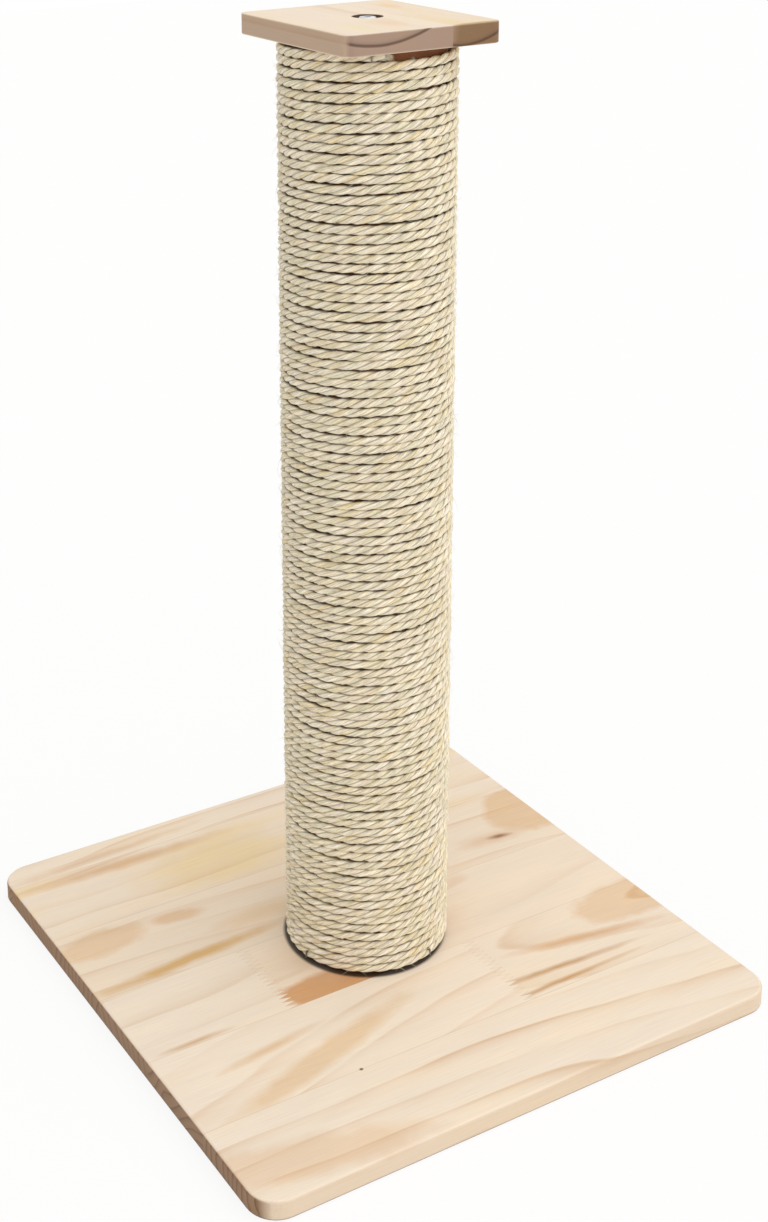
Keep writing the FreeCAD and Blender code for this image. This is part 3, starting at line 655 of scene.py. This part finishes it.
def make_kraft():
    """Brown paper: a spiral seam where height / strip + angle / full circle passes a whole number."""
    tree, shader, material = new_material("spiral_kraft_board")
    place = add(tree, "TexCoord", output="Object")
    east, north, height = add(tree, "SeparateXYZ", {0: place}).node.outputs
    angle = add(tree, "Math", {0: north, 1: east}, operation="ARCTAN2")
    around = add(tree, "Math", {0: angle, 1: 2 * np.pi}, operation="DIVIDE")
    strips = add(tree, "Math", {0: height, 1: 1 / (KRAFT_STRIP * MM), 2: around}, operation="MULTIPLY_ADD")
    seam = add(tree, "Math", {0: strips, 1: 0.5}, operation="PINGPONG")
    seam = add(tree, "MapRange", {"Value": seam, "From Max": SEAM_SHARE, "To Min": 1.0, "To Max": 0.0})
    pulp = {"Vector": place, "Scale": 1 / (PULP_GRAIN * MM), "Detail": 4.0, "Roughness": 0.7}
    pulp = add(tree, "TexNoise", pulp)
    stain = add(tree, "TexNoise", {"Vector": place, "Scale": 1 / (STAIN_SIZE * MM), "Detail": 2.0})
    tone = add(tree, "Math", {0: pulp, 1: stain}, operation="MULTIPLY")
    tone = add(tree, "MapRange", {"Value": tone, "From Min": 0.1, "From Max": 0.4})
    paper = add(tree, "Mix", {0: tone, 6: linear("#6B3A22"), 7: linear("#96603A")}, **COLOUR_MIX)
    paper = add(tree, "Mix", {0: seam, 6: paper, 7: linear("#4A2817")}, **COLOUR_MIX)
    tree.links.new(paper, shader.inputs["Base Color"])
    bump = add(tree, "Bump", {"Height": pulp, "Strength": 0.3, "Distance": 0.1 * MM})
    tree.links.new(bump, shader.inputs["Normal"])
    shader.inputs["Roughness"].default_value = 0.85
    return material


kraft = make_kraft()
dress("core_tube", kraft)
print("tube:", kraft.name)

# %% Plywood plugs
PLY = 1.5
PLY_STOPS = [
    (0.0, linear("#8A6238")),
    (0.12, linear("#E2C594")),
    (0.55, linear("#D9B67F")),
    (0.62, linear("#BE9560")),
]
PLY_FIBRE_REACH = (25.0, 2 / 3, 10 / 3)


def make_plywood():
    """Birch plywood: plies of 1.5 mm up the thickness, every second one end grain, dark glue between."""
    tree, shader, material = new_material("birch_plywood")
    place = add(tree, "TexCoord", output="Object")
    height = add(tree, "SeparateXYZ", {0: place}).node.outputs[2]
    height = add(tree, "Math", {0: height, 1: PLY * MM}, operation="DIVIDE")
    layer = add(tree, "Math", {0: height, 1: 1.0}, operation="PINGPONG")
    layer = set_stops(add(tree, "ValToRGB", {"Fac": layer}), PLY_STOPS)
    thread = add(tree, "VectorMath", {0: place, 1: one_over(PLY_FIBRE_REACH)}, operation="MULTIPLY")
    fibres = add(tree, "TexNoise", {"Vector": thread, "Scale": 1 / MM, "Detail": 3.0})
    tone = add(tree, "MapRange", {"Value": fibres, "To Min": 0.85, "To Max": 1.1})
    colour = add(tree, "VectorMath", {0: layer, 1: tone}, operation="MULTIPLY")
    tree.links.new(colour, shader.inputs["Base Color"])
    shader.inputs["Roughness"].default_value = 0.6
    return material


plywood = make_plywood()
for name in ("bottom_plug", "top_plug"):
    dress(name, plywood)
print("plugs:", plywood.name)

# %% Plated steel
PLATED_PIECES = ("base_bolt", "top_bolt", "base_washer", "top_washer", "base_insert", "top_insert")
WIRE_PIECES = ("bottom_rope_staples", "top_rope_staples", "bottom_plug_nails", "top_plug_nails")


def make_steel(name, dark, light, rough_low, rough_high, grain):
    """Plated steel: two greys mixed by a noise of the plating's grain in mm, which also sets the gloss."""
    tree, shader, material = new_material(name)
    place = add(tree, "TexCoord", output="Object")
    spots = add(tree, "TexNoise", {"Vector": place, "Scale": 1 / (grain * MM), "Detail": 3.0})
    colour = add(tree, "Mix", {0: spots, 6: linear(dark), 7: linear(light)}, **COLOUR_MIX)
    tree.links.new(colour, shader.inputs["Base Color"])
    rough = add(tree, "MapRange", {"Value": spots, "To Min": rough_low, "To Max": rough_high})
    tree.links.new(rough, shader.inputs["Roughness"])
    bump = add(tree, "Bump", {"Height": spots, "Strength": 0.12, "Distance": 0.05 * MM})
    tree.links.new(bump, shader.inputs["Normal"])
    shader.inputs["Metallic"].default_value = 1.0
    return material


zinc = make_steel("zinc_plated_steel", "#B9BCC0", "#E4E6E8", 0.22, 0.42, 2.5)
staple_steel = make_steel("galvanised_staple_wire", "#6E6A64", "#A09C95", 0.35, 0.55, 1.5)
for names, steel in ((PLATED_PIECES, zinc), (WIRE_PIECES, staple_steel)):
    for name in names:
        dress(name, steel)
print("steel pieces:", len(PLATED_PIECES) + len(WIRE_PIECES))

# %% [markdown]
# ## The sisal rope
# A rope isn't a smooth tube. Three strands lie round each other, so its outline is three lobes that
# turn as one follows the rope, and on the wound post each turn shows a row of slanting lumps. It could
# be drawn as three tubes, but one three-lobed section swept along the winding gives the same outline
# with half the faces. The points of each ring turn with the strands, so that a ridge always lies on
# the same row of points. Real rope is uneven, so the lay, the thickness and the height wander a little.

# %% Rope: sizes of the winding
TUBE_LENGTH = 764.0
ROPE_DIAMETER = 6.8
ROPE_END_GAP = 0.6
ROPE_PITCH = 7.46
ROPE_START_ANGLE = 125.0
ROPE_TURNS = (TUBE_LENGTH - 2 * ROPE_END_GAP - ROPE_DIAMETER) / ROPE_PITCH
ROPE_LOW = BOARD_THICKNESS + ROPE_END_GAP + ROPE_DIAMETER / 2
TUBE_RADIUS = 61.0
# CAD's plain round rope has its middle 3.5 mm outside the tube. A laid rope's lumps need a little more.
WINDING_RADIUS = TUBE_RADIUS + 3.75
STRANDS = 3
STRAND_RADIUS = 2.35
STRAND_OFFSET = 1.5
# The strands go once round the rope in each length of lay.
LAY = 38.0
ROPE_PIECES = 5
POINTS_PER_STRAND = 7
RINGS_PER_LAY = 18
TURN_LENGTH = float(np.hypot(2 * np.pi * WINDING_RADIUS, ROPE_PITCH))
ROPE_LENGTH = ROPE_TURNS * TURN_LENGTH
END_ANGLE = np.radians(ROPE_START_ANGLE) + 2 * np.pi * ROPE_TURNS
print("rope:", round(ROPE_TURNS, 2), "turns,", round(ROPE_LENGTH / 1000, 2), "m")

# %% Rope: the wander
wander_random = np.random.default_rng(20)


def smooth_noise(distance, knot_spacing, amplitude):
    """Random heights at evenly spaced knots, joined by half cosine waves, read at each distance."""
    heights = wander_random.uniform(-1, 1, int(ROPE_LENGTH / knot_spacing) + 3)
    place = np.clip(distance, 0, ROPE_LENGTH) / knot_spacing
    knot = place.astype(int)
    blend = (1 - np.cos(np.pi * (place - knot))) / 2
    return amplitude * (heights[knot] * (1 - blend) + heights[knot + 1] * blend)


def smooth_strands(distance, knot_spacing, amplitude):
    """A smooth noise for each strand, side by side: one column to a strand."""
    return np.stack([smooth_noise(distance, knot_spacing, amplitude) for strand in range(STRANDS)], axis=-1)


RING_COUNT = ROPE_PIECES * int(round(ROPE_LENGTH / LAY * RINGS_PER_LAY / ROPE_PIECES)) + 1
ring_distance = np.linspace(0, ROPE_LENGTH, RING_COUNT)
# Each wander has the length in mm over which it changes, and an amplitude: mm for the lift and the
# bulge, radians for the twist and the wobble, and a share for the girths. The roughness is in mm.
# What could reach the boards dies out towards both ends of the rope.
end_room = np.clip(np.minimum(ring_distance, ROPE_LENGTH - ring_distance) / TURN_LENGTH - 0.3, 0, 1)
ring_lift = smooth_noise(ring_distance, 45.0, 0.58) * end_room
ring_bulge = smooth_noise(ring_distance, 55.0, 0.22)
ring_girth = 1.0 + smooth_noise(ring_distance, 24.0, 0.045) * end_room
ring_twist = 2 * np.pi * ring_distance / LAY + smooth_noise(ring_distance, 160.0, 1.6)
ring_twist += smooth_noise(ring_distance, 40.0, 0.5)
strand_girth = smooth_strands(ring_distance, 18.0, 0.09) * end_room[:, None]
strand_wobble = smooth_strands(ring_distance, 22.0, 0.2)
roughness = wander_random.normal(0, 0.15, (RING_COUNT, STRANDS * POINTS_PER_STRAND)) * end_room[:, None]
print("rings along the rope:", RING_COUNT)

# %% Rope: the mesh
def winding_line(distance, lift, bulge):
    """Centre line, outward and upward directions along the winding.

    Angle = start + a full circle per turn; radius = winding radius + bulge; height = low end + pitch
    per turn + lift. Outward is the radius's direction, and up is square to it and to the rope.
    """
    turn = distance / TURN_LENGTH
    angle = np.radians(ROPE_START_ANGLE) + 2 * np.pi * turn
    outward = np.stack([np.cos(angle), np.sin(angle), np.zeros_like(angle)], axis=-1)
    slope = ROPE_PITCH / (2 * np.pi * WINDING_RADIUS)
    upward = np.stack([slope * np.sin(angle), -slope * np.cos(angle), np.ones_like(angle)], axis=-1)
    radius = (WINDING_RADIUS + bulge)[..., None]
    centre = outward * radius
    centre[..., 2] = ROPE_LOW + ROPE_PITCH * turn + lift
    return centre, outward, upward


def lobed_section():
    """One ring: for three circles set off the middle, the outline's radius at an angle a from the
    nearest strand is offset * cos a + sqrt(strand^2 - (offset * sin a)^2). Gives angle and radius."""
    steps = np.linspace(-np.pi / STRANDS, np.pi / STRANDS, POINTS_PER_STRAND, endpoint=False)
    angle = (steps[None, :] + np.arange(STRANDS)[:, None] * 2 * np.pi / STRANDS).ravel()
    reach = STRAND_OFFSET * np.cos(steps) + np.sqrt(STRAND_RADIUS**2 - (STRAND_OFFSET * np.sin(steps)) ** 2)
    return angle, np.tile(reach, STRANDS)


def tube_faces(rings, points):
    """Quads between neighbouring rings of a closed tube, by index arithmetic on a ring-by-point grid."""
    row = np.arange(rings - 1)[:, None] * points
    here = np.arange(points)[None, :]
    following = (here + 1) % points
    quads = np.stack([row + here, row + following, row + points + following, row + points + here], axis=-1)
    return quads.reshape(-1, 4)


def mesh_from(name, points, quads, caps=()):
    """A mesh object in metres from points in millimetres, with quads and closing polygons."""
    mesh = bpy.data.meshes.new(name)
    loops = np.concatenate([quads.ravel(), *caps]) if len(caps) else quads.ravel()
    sizes = np.concatenate([np.full(len(quads), 4), [len(cap) for cap in caps]]).astype(int)
    mesh.vertices.add(len(points))
    mesh.vertices.foreach_set("co", (points * MM).astype(np.float32).ravel())
    mesh.loops.add(len(loops))
    mesh.loops.foreach_set("vertex_index", loops.astype(np.int32))
    mesh.polygons.add(len(sizes))
    mesh.polygons.foreach_set("loop_start", np.concatenate([[0], np.cumsum(sizes)[:-1]]).astype(np.int32))
    mesh.polygons.foreach_set("use_smooth", np.ones(len(sizes), bool))
    mesh.update(calc_edges=True)
    mesh.validate()
    piece = bpy.data.objects.new(name, mesh)
    bpy.context.scene.collection.objects.link(piece)
    return piece


def store(piece, name, kind, values):
    """Keeps numbers on a mesh's points, for its material to read."""
    key = "value" if kind == "FLOAT" else "vector"
    attribute = piece.data.attributes.new(name, kind, "POINT")
    attribute.data.foreach_set(key, np.asarray(values, np.float32).ravel())


section_angle, section_reach = lobed_section()
FULL_REACH = STRAND_RADIUS + STRAND_OFFSET
VALLEY_REACH = float(section_reach.min())
print("rope section:", len(section_angle), "points, from", round(VALLEY_REACH, 2), "to", FULL_REACH, "mm")

# %% Rope: five lengths of it
def make_rope(name, first, last):
    """One length of rope. Each ring is the lobed section turned by the twist and set on the winding,
    and each strand's own swelling and wobble act on its ridge and leave its valleys.

    It keeps three numbers on its points: fibre is (distance, strand angle as a circle), groove tells
    how deep a point lies between strands, and seat how far it faces its neighbours and the tube.
    """
    rows = slice(first, last + 1)
    centre, outward, upward = winding_line(ring_distance[rows], ring_lift[rows], ring_bulge[rows])
    ridge = (section_reach - VALLEY_REACH) / (FULL_REACH - VALLEY_REACH)
    girth = 1 + np.repeat(strand_girth[rows], POINTS_PER_STRAND, axis=1) * ridge
    wobble = np.repeat(strand_wobble[rows], POINTS_PER_STRAND, axis=1) * ridge
    angle = section_angle[None, :] + ring_twist[rows][:, None] + wobble
    reach = section_reach[None, :] * ring_girth[rows][:, None] * girth + roughness[rows]
    points = (
        centre[:, None, :]
        + (reach * np.cos(angle))[..., None] * outward[:, None, :]
        + (reach * np.sin(angle))[..., None] * upward[:, None, :]
    )
    rings, count = angle.shape
    quads = tube_faces(rings, count)
    caps = [np.arange(count), (rings - 1) * count + np.arange(count)[::-1]]
    piece = mesh_from(name, points.reshape(-1, 3), quads[:, ::-1], caps)
    along = np.broadcast_to(ring_distance[rows][:, None], angle.shape)
    strand = np.broadcast_to(section_angle[None, :], angle.shape)
    fibre = np.stack([along, FULL_REACH * np.cos(strand), FULL_REACH * np.sin(strand)], axis=-1)
    store(piece, "fibre", "FLOAT_VECTOR", fibre)
    groove = np.broadcast_to((FULL_REACH - section_reach) / (FULL_REACH - VALLEY_REACH), angle.shape)
    store(piece, "groove", "FLOAT", groove)
    store(piece, "seat", "FLOAT", (1 - np.cos(angle)) / 2)
    return piece


rope_pieces = []
rings_each = (RING_COUNT - 1) // ROPE_PIECES
for number in range(ROPE_PIECES):
    piece = make_rope(f"sisal_rope_{number + 1}", number * rings_each, (number + 1) * rings_each)
    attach(piece, "root")
    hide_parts(f"rope_turns_{number + 1}")
    rope_pieces.append(piece)
print("rope faces in each piece:", len(rope_pieces[0].data.polygons))

# %% [markdown]
# ## Sisal's finish
# Sisal is a pale leaf fibre, dry and matt. Each strand is a bundle of stiff hairs that run along it,
# so the colour is streaked lengthwise, and some lengths are greener, pinker or more golden than
# others. Between the strands and between the turns a brown shade is painted, made uneven along the
# rope by a slow noise. The stripes and this painted shade are worked out from the numbers kept on the
# mesh, so they follow the rope round the post.

# %% Rope: the finish
SISAL_PALE = linear("#F5ECD6")
SISAL_STRAW = linear("#EAD5A6")
SISAL_PINK = linear("#F1E2D0")
SISAL_GREEN = linear("#DDD5B2")
# the colour of the painted shade in the grooves and where the turns touch
SISAL_SHADE = linear("#553B12")
SISAL_TINTS = [(SISAL_STRAW, 1.0), (SISAL_PINK, 0.8), (SISAL_GREEN, 0.7)]
# How far each pattern reaches along and across the rope before it changes, in mm. A real fibre is about
# 0.25 mm wide, and the streaks are drawn as bundles of fibres, so that they show.
STREAK_REACH = (9.0, 0.8, 0.8)
TONE_REACH = (35.0, 4.0, 4.0)
SHADE_VARIATION_LENGTH = 24.0


def make_sisal():
    """Streaks = noise on the mesh's fibre numbers / the streaks' reach, tones = slower noises of the
    same kind, and painted shade where the groove or seat number is high. A slow noise along the rope
    makes the seat's painted shade uneven."""
    tree, shader, material = new_material("sisal_fibre")
    fibre = add(tree, "Attribute", output="Vector", attribute_name="fibre")
    groove = add(tree, "Attribute", output="Fac", attribute_name="groove")
    seat = add(tree, "Attribute", output="Fac", attribute_name="seat")
    streak_place = add(tree, "VectorMath", {0: fibre, 1: one_over(STREAK_REACH)}, operation="MULTIPLY")
    streaks = {"Vector": streak_place, "Scale": 1.0, "Detail": 4.0, "Roughness": 0.72}
    streaks = add(tree, "TexNoise", streaks)
    tone_place = add(tree, "VectorMath", {0: fibre, 1: one_over(TONE_REACH)}, operation="MULTIPLY")
    tones = add(tree, "TexNoise", {"Vector": tone_place, "Scale": 1.0, "Detail": 2.0}, output="Color")
    channels = add(tree, "SeparateColor", {0: tones}).node.outputs
    colour = SISAL_PALE
    for channel, (tint, amount) in zip(channels, SISAL_TINTS):
        weight = {"Value": channel, "From Min": 0.42, "From Max": 0.68, "To Max": amount}
        colour = add(tree, "Mix", {0: add(tree, "MapRange", weight), 6: colour, 7: tint}, **COLOUR_MIX)
    light = {"Value": streaks, "From Min": 0.32, "From Max": 0.68, "To Min": 0.63, "To Max": 1.38}
    light = add(tree, "MapRange", light)
    colour = add(tree, "VectorMath", {0: colour, 1: light}, operation="MULTIPLY")
    # painted shade: dark in the valleys between strands and where a turn faces its neighbours and the tube
    valley = add(tree, "MapRange", {"Value": groove, "From Min": 0.6, "From Max": 1.0, "To Max": 0.56})
    contact = add(tree, "MapRange", {"Value": seat, "From Min": 0.2, "From Max": 0.42, "To Max": 0.96})
    # a slow noise along the rope varies the painted shade's strength
    shade_variation_place = add(tree, "VectorMath", {0: fibre, 1: (1 / SHADE_VARIATION_LENGTH, 0.0, 0.0)}, operation="MULTIPLY")
    shade_variation = add(tree, "TexNoise", {"Vector": shade_variation_place, "Scale": 1.0, "Detail": 2.0})
    shade_variation = add(tree, "MapRange", {"Value": shade_variation, "From Min": 0.35, "From Max": 0.6, "To Min": 0.5})
    contact = add(tree, "Math", {0: contact, 1: shade_variation}, operation="MULTIPLY")
    shade = add(tree, "Math", {0: valley, 1: contact}, operation="MAXIMUM")
    colour = add(tree, "Mix", {0: shade, 6: colour, 7: SISAL_SHADE}, **COLOUR_MIX)
    tree.links.new(colour, shader.inputs["Base Color"])
    bump = add(tree, "Bump", {"Height": streaks, "Strength": 0.9, "Distance": 0.6 * MM})
    tree.links.new(bump, shader.inputs["Normal"])
    shader.inputs["Roughness"].default_value = 0.75
    shader.inputs["Specular IOR Level"].default_value = 0.3
    shader.inputs["Sheen Weight"].default_value = 0.15
    return material


sisal = make_sisal()
for piece in rope_pieces:
    piece.data.materials.append(sisal)
print("rope finish:", sisal.name)

# %% [markdown]
# ## Stray hairs
# New sisal is hairy: single fibres stand off the rope all over the post. Each is a thin three-sided
# hair that leaves the rope's outer side, leans along it and curls. All are worked out at once as
# one array of hairs by points, and make one light mesh. The cut top end has a tuft of them.

# %% Stray hairs: the mesh
HAIR_COUNT = 5200
TUFT_COUNT = 150
HAIR_RINGS = 6
HAIR_TAPER = 0.75
hair_random = np.random.default_rng(41)


def hair_mesh(name, roots, leave, curl, length, width):
    """Thin hairs: point at t along a hair = root + length * (leave * t + curl * t squared).

    Each ring is a triangle square to the hair, which narrows towards the tip.
    """
    t = np.linspace(0, 1, HAIR_RINGS)[None, :, None]
    line = roots[:, None] + length[:, None, None] * (leave[:, None] * t + curl[:, None] * t**2)
    way = leave[:, None] + 2 * curl[:, None] * t
    way = way / np.linalg.norm(way, axis=-1, keepdims=True)
    side = np.cross(way, np.array([0.0, 0.0, 1.0]))
    side = side / np.linalg.norm(side, axis=-1, keepdims=True)
    other = np.cross(way, side)
    corner = np.arange(3) * 2 * np.pi / 3
    half = (width[:, None, None, None] / 2) * (1 - HAIR_TAPER * t[..., None])
    across = np.cos(corner)[:, None] * side[:, :, None] + np.sin(corner)[:, None] * other[:, :, None]
    points = line[:, :, None] + half * across
    count = len(roots)
    first_point = (np.arange(count) * HAIR_RINGS * 3)[:, None]
    quads = (tube_faces(HAIR_RINGS, 3)[None] + first_point[..., None]).reshape(-1, 4)
    caps = np.concatenate([first_point + [0, 2, 1], first_point + (HAIR_RINGS - 1) * 3 + [0, 1, 2]])
    return mesh_from(name, points.reshape(-1, 3), quads, list(caps))


def rope_surface(distance, angle):
    """Points on the rope's outside at a distance along it and an angle round it, with the directions
    outwards, upwards and along the rope there."""
    centre, outward, upward = winding_line(distance, np.zeros_like(distance), np.zeros_like(distance))
    out = np.cos(angle)[:, None] * outward + np.sin(angle)[:, None] * upward
    along = np.cross(upward, outward)
    return centre + ROPE_DIAMETER / 2 * out, out, upward, along


hair_distance = hair_random.uniform(0, ROPE_LENGTH, HAIR_COUNT)
hair_angle = hair_random.uniform(-1.1, 1.1, HAIR_COUNT)
hair_root, hair_out, hair_up, hair_along = rope_surface(hair_distance, hair_angle)
# a hair leaves the rope mostly along it, one way or the other, and curls back towards it
lean = hair_random.normal(0, 1, (HAIR_COUNT, 3))
hair_leave = 0.35 * hair_out + np.sign(lean[:, :1]) * 0.8 * hair_along + 0.25 * lean[:, 1:2] * hair_up
hair_curl = -0.12 * hair_out + 0.3 * lean[:, 2:3] * hair_up
hair_length = hair_random.gamma(3.0, 2.6, HAIR_COUNT).clip(3, 19)
hair_width = hair_random.uniform(0.16, 0.34, HAIR_COUNT)
hairs = hair_mesh("stray_hairs", hair_root, hair_leave, hair_curl, hair_length, hair_width)
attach(hairs, "root")
print("stray hairs:", HAIR_COUNT, "faces", len(hairs.data.polygons))

# %% Stray hairs: the tuft at the cut top end
tuft_distance = np.full(TUFT_COUNT, ROPE_LENGTH - 1.0)
tuft_angle = hair_random.uniform(-np.pi, np.pi, TUFT_COUNT)
tuft_depth = hair_random.uniform(0.2, 2.9, TUFT_COUNT)[:, None]
tuft_root, tuft_out, tuft_up, tuft_along = rope_surface(tuft_distance, tuft_angle)
tuft_root = tuft_root - tuft_depth * tuft_out
tuft_spread = hair_random.normal(0, 0.28, (TUFT_COUNT, 2))
tuft_outward = np.array([np.cos(END_ANGLE), np.sin(END_ANGLE), 0.0])
tuft_leave = tuft_along + tuft_spread[:, :1] * tuft_outward - np.abs(tuft_spread[:, 1:]) * tuft_up * 0.5
tuft_length = hair_random.uniform(2.5, 8.0, TUFT_COUNT)
tuft_width = hair_random.uniform(0.3, 0.6, TUFT_COUNT)
tuft = hair_mesh("cut_end_tuft", tuft_root, tuft_leave, -0.15 * tuft_up, tuft_length, tuft_width)
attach(tuft, "root")
print("tuft:", TUFT_COUNT, "faces", len(tuft.data.polygons))

# %% Stray hairs: the finish
def make_hair_finish():
    """Single sisal hairs: pale and slightly glossy, from straw to almost white along a slow noise."""
    tree, shader, material = new_material("sisal_hair")
    place = add(tree, "TexCoord", output="Object")
    tone = add(tree, "TexNoise", {"Vector": place, "Scale": 1 / (9 * MM), "Detail": 1.0})
    colour = add(tree, "Mix", {0: tone, 6: linear("#E4D6B0"), 7: linear("#FBF7EC")}, **COLOUR_MIX)
    tree.links.new(colour, shader.inputs["Base Color"])
    shader.inputs["Roughness"].default_value = 0.5
    return material


hair_finish = make_hair_finish()
for piece in (hairs, tuft):
    piece.data.materials.append(hair_finish)
print("hair finish:", hair_finish.name)

# %% [markdown]
# ## Floor and light
# The object stands on a plain white floor in soft light. A broad sun from the upper right models the
# post and leaves the base's front left edge in shade, and an even sky fills the rest. Where the
# camera sees the floor it is mostly its own white, so only the shadow close to the board shows.

# %% Floor
FLOOR_REACH = 6.0
FLOOR_DROP = 0.2
FLOOR_GLOW = 0.85


def seen_ray(tree):
    """The highest of three flags: 1 for camera, mirror and glass rays, 0 for rays that gather light."""
    camera_ray = add(tree, "LightPath", output="Is Camera Ray")
    seen = camera_ray
    for flag in ("Is Glossy Ray", "Is Transmission Ray"):
        seen = add(tree, "Math", {0: seen, 1: camera_ray.node.outputs[flag]}, operation="MAXIMUM")
    return seen


def make_floor_finish():
    """White paper. To camera, mirror and glass rays it is part emission, so it stays white."""
    tree, shader, material = new_material("white_paper_floor")
    shader.inputs["Base Color"].default_value = linear("#F7F5F2")
    shader.inputs["Roughness"].default_value = 0.9
    shader.inputs["Specular IOR Level"].default_value = 0.0
    glow_share = add(tree, "Math", {0: seen_ray(tree), 1: FLOOR_GLOW}, operation="MULTIPLY")
    glow = add(tree, "Emission", {"Color": (1.0, 1.0, 1.0, 1.0), "Strength": 1.0})
    both = add(tree, "MixShader", {0: glow_share, 1: shader.outputs[0], 2: glow})
    output = [node for node in tree.nodes if node.type == "OUTPUT_MATERIAL"][0]
    tree.links.new(both, output.inputs["Surface"])
    return material


floor_corners = np.array([[-1, -1, 0], [1, -1, 0], [1, 1, 0], [-1, 1, 0]]) * FLOOR_REACH / MM
floor = mesh_from("floor", floor_corners - [0, 0, FLOOR_DROP], np.array([[0, 1, 2, 3]]))
floor.data.materials.append(make_floor_finish())
print("floor:", FLOOR_REACH * 2, "m wide")

# %% Light
SUN_DIRECTION = np.array([0.30, -0.58, 0.75])
SUN_STRENGTH = 1.4
SUN_SPREAD = 100.0
SKY_STRENGTH = 0.70


def aim(direction):
    """The turn that points a lamp's own +Z along a direction, so that it shines the other way."""
    return Vector(direction).to_track_quat("Z", "Y")


sun_data = bpy.data.lights.new("broad_sun", "SUN")
sun_data.energy = SUN_STRENGTH
sun_data.angle = np.radians(SUN_SPREAD)
sun = bpy.data.objects.new("broad_sun", sun_data)
bpy.context.scene.collection.objects.link(sun)
sun.rotation_euler = aim(SUN_DIRECTION).to_euler()

world = bpy.data.worlds.new("studio")
bpy.context.scene.world = world
world.use_nodes = True
world_tree = world.node_tree
world_tree.nodes.clear()
world_level = add(world_tree, "MapRange", {"Value": seen_ray(world_tree), "To Min": SKY_STRENGTH})
world_glow = add(world_tree, "Background", {"Color": (1.0, 1.0, 1.0, 1.0), "Strength": world_level})
add(world_tree, "OutputWorld", {"Surface": world_glow})
bpy.context.scene.view_settings.view_transform = "Standard"
print("sky", SKY_STRENGTH, "sun", SUN_STRENGTH)
